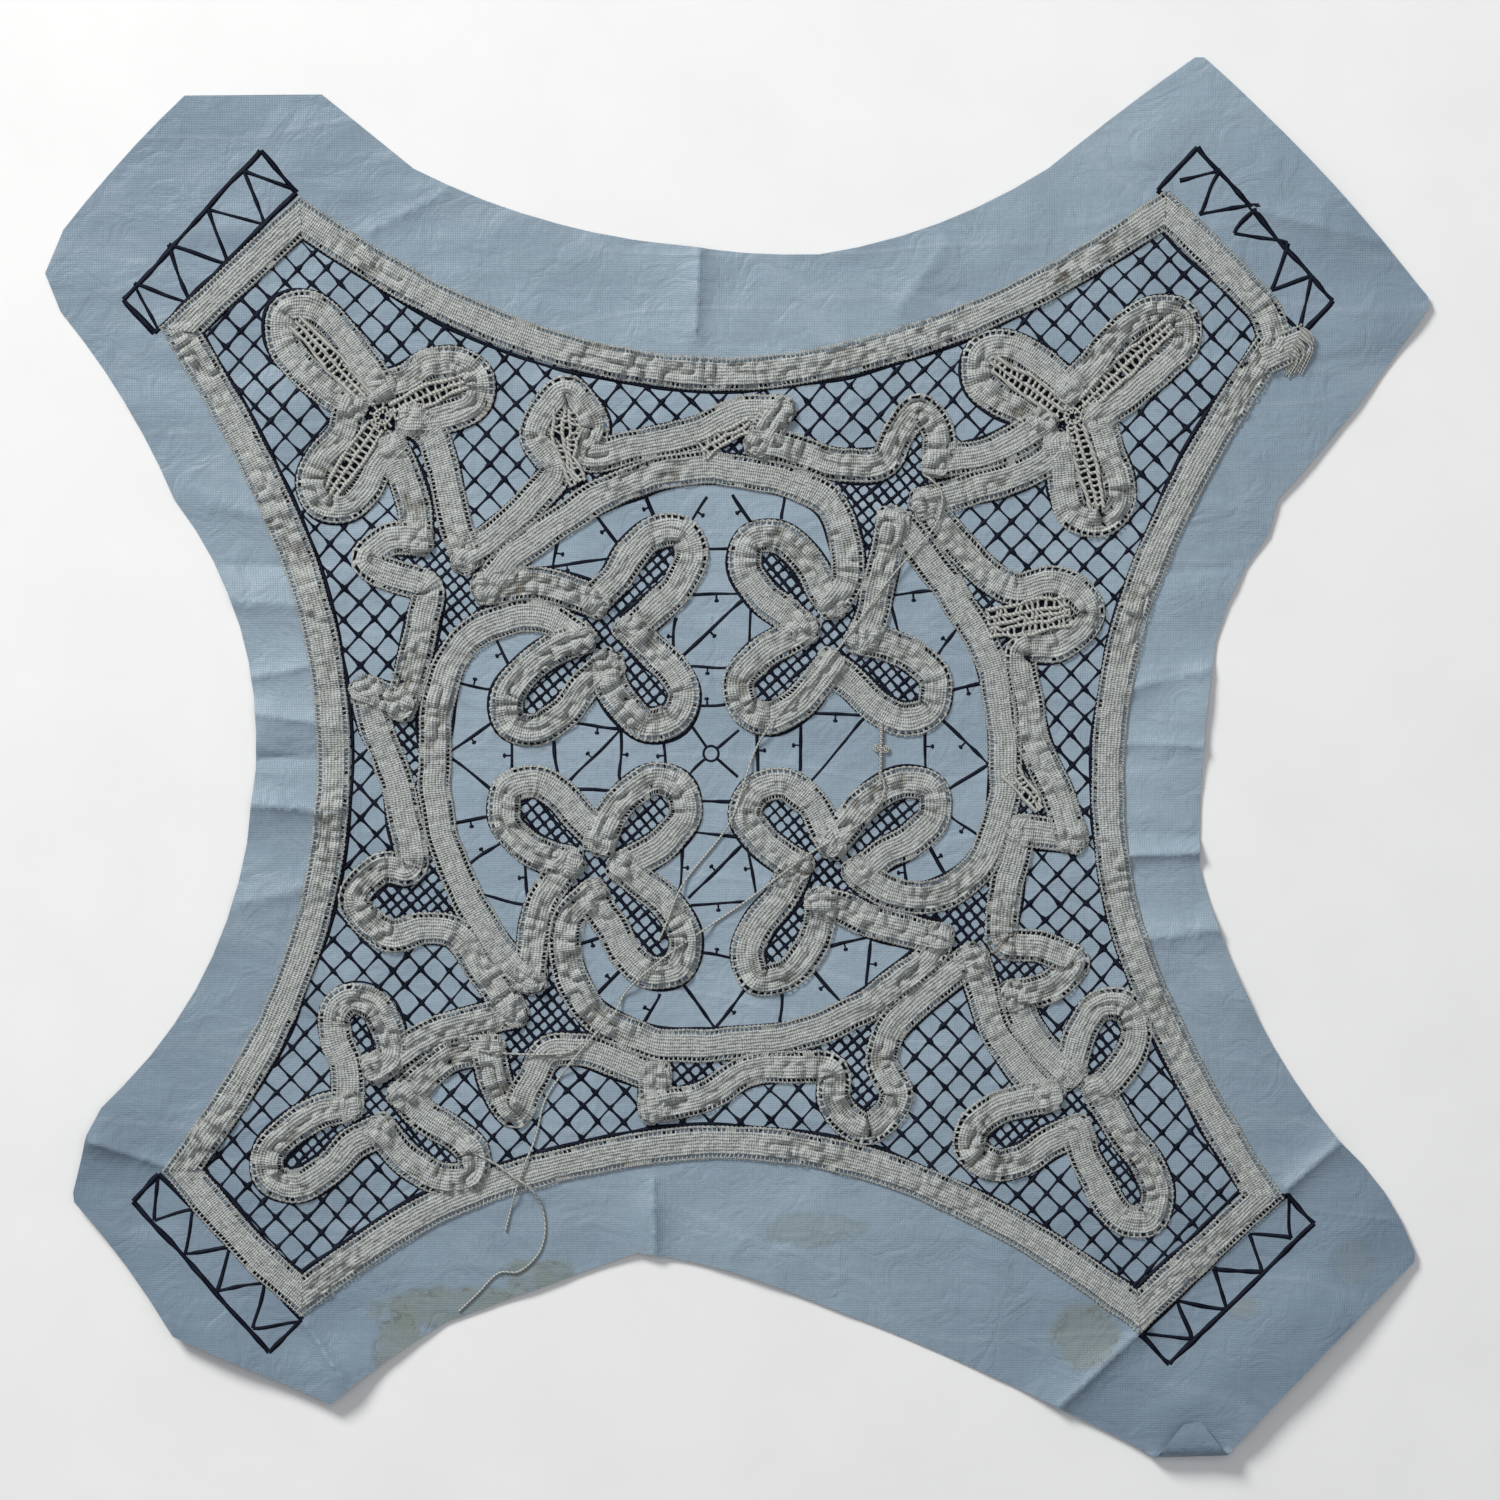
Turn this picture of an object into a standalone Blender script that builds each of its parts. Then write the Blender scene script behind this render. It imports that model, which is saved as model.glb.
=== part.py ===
"""A half-worked tape lace, still basted flat on the pattern sheet that it is made on.

One woven tape makes the border, a second the ring with its four inner flowers, and a third the scroll
with its four corner flowers. Needle-made fillings close some petals, one short bar is worked, and four
ends of thread lie loose across the work.

Sizes are in millimetres until a mesh is made. The sheet rests at Z = 0, and north is +Y. The ring and
the scroll repeat four times: each quarter is given as it lies when it is turned to the north-west.
"""

import math

import bmesh
import bpy
import numpy as np
from mathutils.geometry import delaunay_2d_cdt

MM = 0.001

# Driving sizes
SHEET_THICK = 1.0
TAPE_THICK = 1.0
TAPE_HALF = 4.8
FILLING_THICK = 1.0
BAR_HALF = 0.75
PICOT_RADIUS = 1.5
THREAD_RADIUS = 0.35
CLEAR = 0.3
LACE_CENTRE = (-6.7, 0.5)
# The middle of the sheet's box, which the tables below are measured from and the origin is put at.
BOX_CENTRE = (-0.15, 0.0)

# Heights of what lies on the sheet
LACE_BASE = SHEET_THICK + CLEAR
LACE_TOP = LACE_BASE + TAPE_THICK
GATHER_RISE = 0.9
GATHER_SPREAD = 4.0
PUCKER_RISE = 0.45

# How finely curves are cut into straight steps
FINE_STEP = 0.5
LONGEST_STEP = 8.0
LONGEST_BORDER_STEP = 9.0
TURN_A_STEP = math.radians(22)
FOLD_SIDES = 8
OUTLINE_SLACK = 0.10
SHEET_GRID = 14.0
EDGE_STEP = 11.0

QUARTERS = ("north-west", "north-east", "south-east", "south-west")

# The sheet's cut edge, clockwise. Each stretch runs from its point to the next, and bows out to the
# left of that way by so much.
CUT_EDGE = (
    # stretch                x       y      bow
    ("north-west point", -200.7, 139.1, 0.0),
    ("north-west slant", -195.5, 151.8, 1.0),
    ("north-west top", -160.4, 190.7, 0.0),
    ("north-west fall", -120.6, 191.0, 0.0),
    ("north hollow", -94.0, 169.5, -3.7),
    ("north middle", -19.1, 147.5, -1.0),
    ("north rise", 23.5, 144.6, -3.8),
    ("north-east climb", 89.9, 169.5, 0.5),
    ("north-east tip", 132.5, 201.7, 0.0),
    ("north-east slant", 135.1, 201.7, 2.0),
    ("east point", 199.8, 132.4, 0.0),
    ("east fall", 200.4, 129.8, 1.5),
    ("east nick", 156.3, 73.5, 0.0),
    ("east hollow", 153.7, 63.4, -3.6),
    ("east middle", 136.9, 21.6, -1.0),
    ("east run", 133.7, -32.9, -4.8),
    ("south-east shoulder", 174.0, -112.1, 2.6),
    ("south-east point", 196.0, -144.6, 0.0),
    ("south-east slant", 195.8, -147.2, -0.5),
    ("dog-ear base", 143.6, -200.5, 0.0),
    ("dog-ear tip", 134.6, -214.4, 0.0),
    ("dog-ear side", 129.6, -214.0, 0.0),
    ("south-east rise", 117.5, -201.7, -1.5),
    ("south middle", 18.9, -157.6, -1.8),
    ("south notch", -29.3, -144.6, 0.0),
    ("south fall", -84.7, -164.9, -1.0),
    ("south-west tip", -117.7, -188.1, 0.0),
    ("south-west slant", -163.3, -168.6, -1.0),
    ("west point", -192.0, -129.8, 0.0),
    ("west turn", -192.3, -127.0, 0.0),
    ("west shoulder", -188.2, -110.3, 1.3),
    ("west run", -178.1, -96.4, -8.0),
    ("west middle", -140.7, -14.4, -1.0),
    ("west hollow", -140.1, 16.1, -4.3),
    ("west climb", -163.3, 73.5, -2.3),
    ("west top", -196.3, 128.0, 0.0),
)

# Soft creases across the sheet's margins: each is a ridge along a line through its point.
CREASES = (
    # crease                 x       y    bearing  height  width  reach
    ("west upper fold", -150.0, 0.0, 0.0, 1.6, 7.0, 40.0),
    ("west lower fold", -150.0, -18.0, 3.0, 1.3, 6.0, 40.0),
    ("west soft fold", -155.0, 50.0, -4.0, 0.9, 7.0, 40.0),
    ("east upper fold", 150.0, 20.0, 12.0, 1.4, 7.0, 40.0),
    ("east lower fold", 150.0, -26.0, 0.0, 1.5, 7.0, 40.0),
    ("north fold", -12.0, 150.0, 90.0, 1.4, 7.0, 30.0),
    ("south fold", -27.0, -150.0, 90.0, 1.4, 7.0, 30.0),
    ("south-west corner fold", -122.0, -172.0, 124.0, 1.5, 7.0, 45.0),
    ("west corner fold", -176.0, -115.0, -20.0, 1.3, 7.0, 35.0),
    ("south-east corner fold", 102.0, -180.0, 43.0, 1.2, 7.0, 40.0),
    ("east corner fold", 166.0, -119.0, 42.0, 1.2, 7.0, 35.0),
)

# Corners of the sheet that have come up off the table.
LIFTS = (
    # corner            x       y    height  spread
    ("south-west", -150.0, -185.0, 5.0, 38.0),
    ("west", -200.0, -125.0, 3.0, 30.0),
    ("south-east", 165.0, -185.0, 5.0, 40.0),
    ("north-east", 175.0, 175.0, 1.5, 35.0),
)
MARGIN_START = 3.0
MARGIN_RAMP = 24.0

# The dog-ear: the tongue past this line curls up and back over the sheet.
EAR_START = (143.6, -200.5)
EAR_END = (117.5, -201.7)
EAR_RADIUS = 1.7

# The border tape's middle line: mitred corners, and how far each side is drawn in at every sixth of
# its way to the next corner.
BORDER = (
    # side             corner x  corner y   1/6    2/6    3/6    4/6    5/6
    ("north-west end", -161.5, 122.5, 0.0, 0.0, 0.0, 0.0, 0.0),
    ("north side", -126.7, 155.3, 25.6, 41.1, 46.4, 39.9, 24.6),
    ("north-east end", 123.8, 157.3, -1.0, -1.7, -2.1, -2.1, -1.8),
    ("east side", 155.6, 119.9, 24.3, 40.9, 46.5, 41.9, 24.8),
    ("south-east end", 152.0, -128.3, 0.0, 0.0, 0.0, 0.0, 0.0),
    ("south side", 116.0, -161.7, 25.5, 41.6, 46.7, 40.8, 27.3),
    ("south-west end", -126.2, -157.0, -0.9, -1.4, -1.4, -1.1, -0.6),
    ("west side", -161.0, -120.8, 25.8, 40.1, 44.1, 38.7, 22.8),
)

# The ring, from one foot to the next: the arc, then a flower, then the way out to the next foot.
RING_ARC = (
    # mark               north-west      north-east      south-east      south-west
    ("foot fold", (-53.3, -65.6), (-47.5, -65.8), (-51.4, -66.6), (-53.7, -64.5)),
    ("off the foot", (-58.8, -61.8), (-53.0, -62.0), (-56.0, -63.0), (-58.9, -62.4)),
    ("low arc", (-68.1, -48.8), (-65.5, -46.5), (-68.5, -46.0), (-69.5, -50.0)),
    ("lower side", (-78.0, -27.0), (-77.5, -26.0), (-79.5, -27.5), (-81.0, -28.0)),
    ("crown", (-81.4, 0.0), (-82.0, -4.0), (-83.8, -2.0), (-84.8, 0.0)),
    ("upper side", (-79.3, 18.0), (-79.5, 17.0), (-82.5, 20.5), (-83.6, 20.8)),
    ("shoulder", (-71.5, 33.0), (-72.0, 33.0), (-75.0, 35.0), (-75.8, 35.5)),
    ("turn in", (-59.4, 38.8), (-60.0, 38.2), (-62.5, 42.0), (-60.4, 42.8)),
    ("return", (-47.8, 38.2), (-51.0, 38.6), (-50.0, 40.8), (-48.2, 42.6)),
)
RING_EXIT = (
    ("leaves the heart", (-42.0, 46.3), (-38.5, 45.0), (-37.0, 45.0), (-37.5, 46.0)),
    ("way out", (-52.0, 48.4), (-50.5, 48.2), (-46.5, 49.5), (-47.0, 51.2)),
)

# The scroll along one side, from one foot to the corner flower, and the way back to the next foot.
SCROLL_SIDE = (
    # mark                 north           east            south           west
    ("foot fold", (-72.1, 56.2), (-72.1, 61.0), (-74.6, 60.4), (-75.5, 58.8)),
    ("rise", (-65.2, 61.4), (-61.4, 69.7), (-66.0, 66.5), (-64.0, 66.5)),
    ("rise end", (-54.5, 71.0), (-51.3, 79.0), (-52.0, 79.5), (-52.5, 75.8)),
    ("loop in", (-48.8, 80.5), (-47.5, 90.0), (-48.3, 88.5), (-49.0, 84.5)),
    ("loop back", (-51.5, 93.5), (-48.5, 100.5), (-53.0, 100.0), (-52.0, 93.5)),
    ("loop crown", (-43.1, 103.7), (-40.2, 107.7), (-44.0, 108.8), (-43.2, 103.0)),
    ("loop front", (-35.2, 98.0), (-31.2, 100.0), (-34.6, 101.5), (-35.5, 97.5)),
    ("loop out", (-35.5, 88.8), (-28.5, 90.6), (-33.5, 92.5), (-33.0, 89.8)),
    ("long run", (-21.1, 88.7), (-15.0, 90.3), (-22.0, 91.2), (-20.0, 89.8)),
    ("middle run", (-4.0, 93.2), (-1.5, 92.6), (-10.2, 92.6), (-5.0, 93.2)),
    ("tip rise", (9.5, 98.6), (12.0, 99.2), (3.5, 99.8), (8.0, 98.6)),
    ("tip fold", (18.6, 98.5), (24.7, 103.3), (17.5, 103.0), (17.3, 101.1)),
    ("tuck fold", (13.2, 89.6), (23.0, 89.5), (17.3, 93.7), (13.6, 91.2)),
    ("second run", (24.7, 86.6), (32.0, 86.3), (26.0, 90.5), (24.0, 87.8)),
    ("low run", (38.0, 82.8), (43.0, 84.4), (39.0, 86.2), (37.0, 84.6)),
    ("arch in", (49.2, 84.2), (55.0, 83.6), (48.3, 87.0), (47.2, 83.2)),
    ("arch back", (53.6, 92.5), (57.0, 94.8), (53.3, 95.5), (50.7, 92.5)),
    ("arch crown", (59.0, 99.4), (61.0, 104.5), (57.9, 105.1), (55.8, 100.8)),
    ("arch front", (64.2, 93.0), (67.5, 97.8), (63.2, 96.5), (61.2, 94.0)),
    ("arch fold", (64.5, 84.0), (70.5, 87.1), (65.2, 86.5), (61.4, 86.0)),
    ("last run", (79.0, 86.3), (81.0, 90.9), (77.0, 88.9), (74.0, 87.6)),
)
SCROLL_EXIT = (
    ("leaves the heart", (-82.6, 91.9), (-83.0, 93.5), (-86.0, 87.5), (-86.5, 89.5)),
    ("way down", (-78.2, 81.7), (-78.2, 83.0), (-80.4, 77.8), (-81.5, 80.5)),
    ("before the foot", (-76.0, 69.5), (-75.2, 71.1), (-77.5, 68.5), (-78.0, 70.0)),
)
FOLD_MARKS = ("foot fold", "tip fold", "tuck fold", "arch fold")

# Every flower: its heart, and the fold that the tape makes beside the heart before the first petal.
HEARTS = (
    # flower    quarter        x       y     fold bearing  distance
    ("ring", "north-west", -32.4, 33.9, 192, 6.8),
    ("ring", "north-east", -34.1, 34.0, 180, 9.0),
    ("ring", "south-east", -32.8, 34.6, 178, 9.0),
    ("ring", "south-west", -33.4, 34.4, 172, 8.2),
    ("scroll", "north-west", -96.2, 97.1, 287, 9.5),
    ("scroll", "north-east", -97.1, 103.6, 284, 9.5),
    ("scroll", "south-east", -104.8, 101.3, 286, 8.5),
    ("scroll", "south-west", -100.1, 97.9, 275, 8.0),
)

# Every petal, in the order that the tape is laid: it points from the heart along its bearing, its tip
# leans to the left, and the tape folds beside the heart after it.
PETALS = (
    # flower    quarter    bearing  reach breadth  lean  fold bearing  distance
    ("ring", "north-west", 225, 37.0, 16.5, -0.5, 279, 9.0),
    ("ring", "north-west", 310, 32.0, 17.5, 0.0, 10, 8.0),
    ("ring", "north-west", 53, 37.0, 16.5, -1.0, 103, 10.0),
    ("ring", "north-east", 220, 36.0, 16.0, 0.5, 258, 8.5),
    ("ring", "north-east", 311, 33.5, 18.0, -0.5, 356, 9.0),
    ("ring", "north-east", 51, 36.0, 17.5, 1.5, 82, 8.5),
    ("ring", "south-east", 222, 38.3, 16.5, -2.5, 260, 8.5),
    ("ring", "south-east", 308, 31.5, 18.0, 2.0, 351, 9.0),
    ("ring", "south-east", 55, 37.0, 15.5, 1.0, 78, 9.5),
    ("ring", "south-west", 221, 37.5, 18.0, -1.5, 268, 8.0),
    ("ring", "south-west", 314, 33.5, 17.5, 0.0, 350, 8.0),
    ("ring", "south-west", 48, 33.5, 17.0, 0.5, 80, 8.0),
    ("scroll", "north-west", 235, 31.0, 16.0, 0.5, 164, 9.5),
    ("scroll", "north-west", 132, 41.8, 15.0, 0.5, 96, 8.5),
    ("scroll", "north-west", 28, 29.5, 15.5, -3.0, 354, 8.5),
    ("scroll", "north-east", 235, 32.0, 16.0, 1.0, 188, 8.0),
    ("scroll", "north-east", 135, 43.0, 15.5, -1.5, 88, 7.5),
    ("scroll", "north-east", 17, 31.0, 16.0, -1.0, 336, 9.5),
    ("scroll", "south-east", 244, 31.0, 15.5, 0.0, 212, 7.5),
    ("scroll", "south-east", 124, 40.5, 15.0, -2.0, 88, 8.5),
    ("scroll", "south-east", 28, 33.5, 16.0, -1.5, 348, 8.5),
    ("scroll", "south-west", 221, 34.3, 14.5, 6.0, 187, 9.5),
    ("scroll", "south-west", 128, 38.5, 15.5, -0.5, 105, 9.0),
    ("scroll", "south-west", 13, 29.5, 15.5, 0.5, 0, 9.0),
)
# A petal's side from its heart to its tip, as shares of its reach and of half its breadth.
PETAL_SIDE = ((0.38, 0.86), (0.65, 1.0), (0.88, 0.80))

# Needle-made fillings: those inside whole corner flowers, and those that a stretch of the scroll closes
# off against the ring.
FLOWER_FILLINGS = ("north-west", "north-east")
SIDE_FILLINGS = (
    # filling          side     from          to            point on the ring
    ("north_loop", "north", "rise end", "long run", (-40.0, 79.0)),
    ("east_loop", "east", "rise end", "long run", (-38.0, 82.0)),
    ("north_triangle", "north", "middle run", "second run", (5.0, 82.0)),
    ("east_triangle", "east", "middle run", "second run", (6.0, 82.0)),
)
HEART_RADIUS = 8.0
SMALLEST_FILLING = 5.0

# The one worked bar, between two petals of the ring's flowers, with a picot on each side.
BAR_LINE = ((41.6, 9.0), (41.2, -8.0))
PICOTS = ((40.2, 1.6), (42.8, 1.2))

# Where the border tape's cut end laps over its start, at the north-east corner: the doubled ground.
LAP = (
    # corner             x      y
    ("inner start", 149.8, 117.2),
    ("top", 156.9, 122.4),
    ("end corner", 164.4, 122.9),
    ("lower selvedge", 159.8, 114.6),
    ("outer start", 154.2, 111.0),
)
LAP_RISE = 0.9
LAP_SLOPE = 0.6

# The threads frayed out of that cut end: they leave it square, then fall alongside it.
FRAY_COUNT = 5
FRAY_PITCH = 0.72
FRAY_HALF = 0.2
FRAY_LONGEST = 11.5
FRAY_SHORTEST = 6.5
FRAY_UNEVEN = 1.2
FRAY_STRIP_HALF = 0.4
FRAY_RISE = 0.8

# Loose ends of thread. Each point is where the thread passes, and what it is lifted by there.
THREADS = (
    (
        "long_thread",
        ((53.9, 80.7, 0.0), (58.9, 75.5, 0.0), (57.7, 67.1, 0.0), (52.2, 59.9, 0.0), (45.0, 51.8, 0.0),
         (28.1, 29.1, 0.0), (6.7, 4.2, 0.0), (-2.3, -19.9, 0.0), (-16.2, -38.4, 0.0),
         (-20.9, -49.7, 0.0), (-22.9, -54.2, 0.0)),
    ),
    (
        "bar_thread",
        ((41.6, -6.2, 0.0), (42.3, -11.5, 0.0), (37.0, -19.0, 0.0), (20.6, -29.1, 0.0),
         (3.2, -42.2, 0.0), (-22.0, -59.6, 0.0), (-32.5, -69.2, 0.0), (-36.0, -75.8, 0.0),
         (-40.9, -80.8, 0.0), (-48.1, -89.2, 0.0), (-55.7, -100.2, 0.0), (-58.6, -111.2, 0.0),
         (-62.9, -122.2, 0.0), (-67.3, -138.2, 0.0)),
    ),
    (
        "short_thread",
        ((-76.3, -85.7, 0.0), (-65.8, -86.9, 0.0), (-55.7, -87.1, 0.0), (-48.8, -86.4, 0.0),
         (-45.2, -84.0, 0.0)),
    ),
    (
        "end_thread",
        ((-76.9, -115.3, 0.0), (-69.6, -119.0, 0.6), (-64.7, -122.5, 1.4), (-59.7, -126.0, 0.6),
         (-56.0, -134.4, 0.0), (-57.1, -143.7, 0.0), (-63.5, -150.1, 0.0), (-69.0, -150.4, 0.0),
         (-75.4, -156.5, 0.0), (-80.9, -161.7, 0.0)),
    ),
)
THREAD_STEP = 6.5

COLOURS = {
    # finish      red    green  blue   roughness
    "paper": (0.35, 0.45, 0.56, 0.55),
    "tape": (0.52, 0.48, 0.39, 0.90),
    "thread": (0.60, 0.57, 0.48, 0.85),
}


# Plane geometry


def toward(bearing, distance):
    """A step of that length, with its bearing in degrees from east, turning north."""
    angle = math.radians(bearing)
    return np.array([math.cos(angle), math.sin(angle)]) * distance


def placed(point, quarter):
    """A point of the quarter that faces north-west, carried round to its own quarter of the lace."""
    x, y = point
    for _ in range(quarter):
        x, y = y, -x
    return np.array([x + LACE_CENTRE[0], y + LACE_CENTRE[1]])


def smooth(marks):
    """A smooth curve through the marks, in fine steps."""
    marks = np.array(marks, float)
    if len(marks) == 2:
        share = np.linspace(0, 1, max(2, int(np.hypot(*(marks[1] - marks[0])) / FINE_STEP)))[:, None]
        return marks[0] + (marks[1] - marks[0]) * share
    knots = np.concatenate([[0], np.cumsum(np.sqrt(np.linalg.norm(np.diff(marks, axis=0), axis=1)))])
    slopes = np.diff(marks, axis=0) / np.diff(knots)[:, None]
    ways = np.empty_like(marks)
    for i in range(1, len(marks) - 1):
        before, after = knots[i] - knots[i - 1], knots[i + 1] - knots[i]
        ways[i] = (slopes[i - 1] * after + slopes[i] * before) / (before + after)
    ways[0] = 1.5 * slopes[0] - 0.5 * ways[1]
    ways[-1] = 1.5 * slopes[-1] - 0.5 * ways[-2]
    pieces = []
    for i, span in enumerate(np.diff(knots)):
        count = max(2, int(np.linalg.norm(marks[i + 1] - marks[i]) / FINE_STEP))
        t = np.linspace(0, 1, count, endpoint=False)[:, None]
        pieces.append(
            (2 * t**3 - 3 * t**2 + 1) * marks[i]
            + (t**3 - 2 * t**2 + t) * span * ways[i]
            + (3 * t**2 - 2 * t**3) * marks[i + 1]
            + (t**3 - t**2) * span * ways[i + 1]
        )
    return np.concatenate([*pieces, marks[-1:]])


def stepped(curve, longest):
    """The points of a fine curve that are needed to follow it: closer together where it turns."""
    kept, travelled, turned = [0], 0.0, 0.0
    steps = np.diff(curve, axis=0)
    headings = np.unwrap(np.arctan2(steps[:, 1], steps[:, 0]))
    for i in range(1, len(curve) - 1):
        travelled += np.linalg.norm(steps[i - 1])
        turned += headings[i] - headings[i - 1]
        if travelled >= longest or abs(turned) >= TURN_A_STEP:
            kept.append(i)
            travelled, turned = 0.0, 0.0
    if len(kept) > 1 and np.linalg.norm(curve[-1] - curve[kept[-1]]) < 1.2:
        kept.pop()
    return curve[[*kept, len(curve) - 1]]


def leftward(points):
    """The direction square to the left of the line at each of its points, lengthened at a mitre."""
    ways = np.diff(points, axis=0)
    ways /= np.linalg.norm(ways, axis=1)[:, None]
    ways = np.concatenate([ways[:1], ways, ways[-1:]])
    sides = np.stack([-ways[:, 1], ways[:, 0]], axis=1)
    middle = sides[:-1] + sides[1:]
    return middle * (2 / np.maximum((middle**2).sum(axis=1), 0.5))[:, None]


def rails(points, half):
    """The two edges of a tape laid along the points. The inner edge of a tight bend is gathered in."""
    points = np.asarray(points)
    side = leftward(points)
    left, right = np.full(len(points), half), np.full(len(points), half)
    for i in range(1, len(points) - 1):
        before, after = points[i] - points[i - 1], points[i + 1] - points[i]
        cross = before[0] * after[1] - before[1] * after[0]
        turn = abs(math.atan2(cross, before @ after))
        if turn < 1e-3:
            continue
        radius = (np.linalg.norm(before) + np.linalg.norm(after)) / 2 / turn
        inner = left if cross > 0 else right
        inner[i] = min(half, 0.94 * radius)
    return points + side * left[:, None], points - side * right[:, None]


def counterclockwise(face):
    x, y = np.array(face).T
    area = np.sum(x * np.roll(y, -1) - np.roll(x, -1) * y)
    return [tuple(p) for p in (face if area > 0 else face[::-1])]


def strip(points, half):
    """A tape's ground as triangles, two for each step."""
    left, right = rails(points, half)
    faces = []
    for i in range(len(left) - 1):
        faces.append(counterclockwise([left[i], right[i], right[i + 1]]))
        faces.append(counterclockwise([left[i], right[i + 1], left[i + 1]]))
    return faces


def disc(centre, radius, sides=FOLD_SIDES):
    return [
        tuple(centre + toward(360 * (k + 0.5) / sides, radius / math.cos(math.pi / sides)))
        for k in range(sides)
    ]


def loops_of(points, triangles):
    """The closed outlines round a set of triangles."""
    sides = {}
    for triangle in triangles:
        for k in range(3):
            a, b = triangle[k - 1], triangle[k]
            if sides.pop((b, a), None) is None:
                sides[(a, b)] = True
    onward = {}
    for a, b in sides:
        onward.setdefault(a, []).append(b)
    loops = []
    while onward:
        first = here = next(iter(onward))
        loop = []
        while here in onward:
            loop.append(points[here])
            following = onward[here].pop()
            if not onward[here]:
                del onward[here]
            here = following
            if here == first:
                break
        loops.append(np.array(loop))
    return loops


def thinned(line):
    """The points that a line can't be drawn without, leaving out its last."""
    if len(line) < 3:
        return list(line[:-1])
    way = line[-1] - line[0]
    length = max(np.linalg.norm(way), 1e-9)
    off = np.abs(way[0] * (line[:, 1] - line[0, 1]) - way[1] * (line[:, 0] - line[0, 0])) / length
    k = int(off.argmax())
    if off[k] <= OUTLINE_SLACK:
        return [line[0]]
    return thinned(line[: k + 1]) + thinned(line[k:])


def eased(loop):
    far = int(np.linalg.norm(loop - loop[0], axis=1).argmax())
    return np.array(thinned(loop[: far + 1]) + thinned(np.concatenate([loop[far:], loop[:1]])))


def inside(points, outlines):
    """Which of the points lie inside the outlines, where one within another is a hole."""
    found = np.zeros(len(points), bool)
    for outline in outlines:
        for (ax, ay), (bx, by) in zip(outline, np.roll(outline, -1, axis=0)):
            if ay == by:
                continue
            crosses = (ay > points[:, 1]) != (by > points[:, 1])
            found ^= crosses & (points[:, 0] < (bx - ax) * (points[:, 1] - ay) / (by - ay) + ax)
    return found


def filled(outlines, extra=()):
    """(points, triangles) that fill the outlines, with the extra points among their corners."""
    points, edges = [], []
    for outline in outlines:
        start, count = len(points), len(outline)
        points.extend(tuple(p) for p in outline)
        edges.extend((start + k, start + (k + 1) % count) for k in range(count))
    points.extend(tuple(p) for p in extra)
    found, _, triangles, *_ = delaunay_2d_cdt(points, edges, [], 0, 1e-4, True)
    found = np.array(found)
    middles = np.array([found[list(t)].mean(axis=0) for t in triangles])
    kept = [tuple(t) for t, held in zip(triangles, inside(middles, outlines)) if held]
    return found, kept


def region(cover, cut=()):
    """(points, triangles) of the ground that any face of cover covers and no face of cut does."""
    points, faces = [], []
    for face in [*cover, *cut]:
        faces.append(list(range(len(points), len(points) + len(face))))
        points.extend(face)
    found, _, triangles, _, _, sources = delaunay_2d_cdt(points, [], faces, 1, 1e-4, True)
    found = np.array(found)
    kept = []
    for triangle, source in zip(triangles, sources):
        if source and max(source) < len(cover):
            kept.append(tuple(triangle))
    return found, kept


def area_of(points, triangles):
    a, b, c = (points[[t[k] for t in triangles]] for k in range(3))
    return abs(np.sum((b - a)[:, 0] * (c - a)[:, 1] - (b - a)[:, 1] * (c - a)[:, 0])) / 2


def pieces_of(points, triangles):
    """The separate pieces of a region, largest first, joined only where they share an edge."""
    owners = {}
    for index, triangle in enumerate(triangles):
        for k in range(3):
            owners.setdefault(frozenset((triangle[k], triangle[k - 1])), []).append(index)
    left, pieces = set(range(len(triangles))), []
    while left:
        stack, piece = [left.pop()], []
        while stack:
            index = stack.pop()
            piece.append(triangles[index])
            for k in range(3):
                for other in owners[frozenset((triangles[index][k], triangles[index][k - 1]))]:
                    if other in left:
                        left.remove(other)
                        stack.append(other)
        pieces.append(piece)
    return sorted(pieces, key=lambda piece: -area_of(points, piece))


# Routes of the tapes


def petal_marks(heart, bearing, reach, breadth, lean, first_side):
    """The marks round one petal, up one side of it and down the other."""
    along, across = toward(bearing, 1.0), toward(bearing + 90, 1.0)
    profile = [(u, v * first_side) for u, v in PETAL_SIDE]
    profile += [(1.0, 0.0)] + [(u, -v) for u, v in reversed(profile)]
    return [
        heart + along * (u * reach) + across * (v * breadth / 2 + lean * u * u) for u, v in profile
    ]


def flower_marks(kind, quarter, first_side):
    """(mark, is a fold, its petal or None) round one flower, from its first fold to its last."""
    _, _, x, y, bearing, distance = next(
        row for row in HEARTS if row[:2] == (kind, QUARTERS[quarter])
    )
    heart = np.array([x, y])
    marks = [(heart + toward(bearing, distance), True, None)]
    petals = [row[2:] for row in PETALS if row[:2] == (kind, QUARTERS[quarter])]
    for number, (bearing, reach, breadth, lean, fold_bearing, fold_distance) in enumerate(petals):
        round_it = petal_marks(heart, bearing, reach, breadth, lean, first_side)
        marks += [(mark, False, number) for mark in round_it]
        marks.append((heart + toward(fold_bearing, fold_distance), True, None))
    return marks


def row_marks(rows, quarter):
    return [(row[1 + quarter], row[0] in FOLD_MARKS, row[0]) for row in rows]


def ring_marks():
    """The ring tape's marks in the order that it is laid: (point, is a fold, quarter, label)."""
    marks = []
    for quarter in range(4):
        local = row_marks(RING_ARC, quarter)
        local += flower_marks("ring", quarter, -1)
        local += row_marks(RING_EXIT, quarter)
        marks += [(placed(mark, quarter), fold, quarter, label) for mark, fold, label in local]
    return marks


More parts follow.
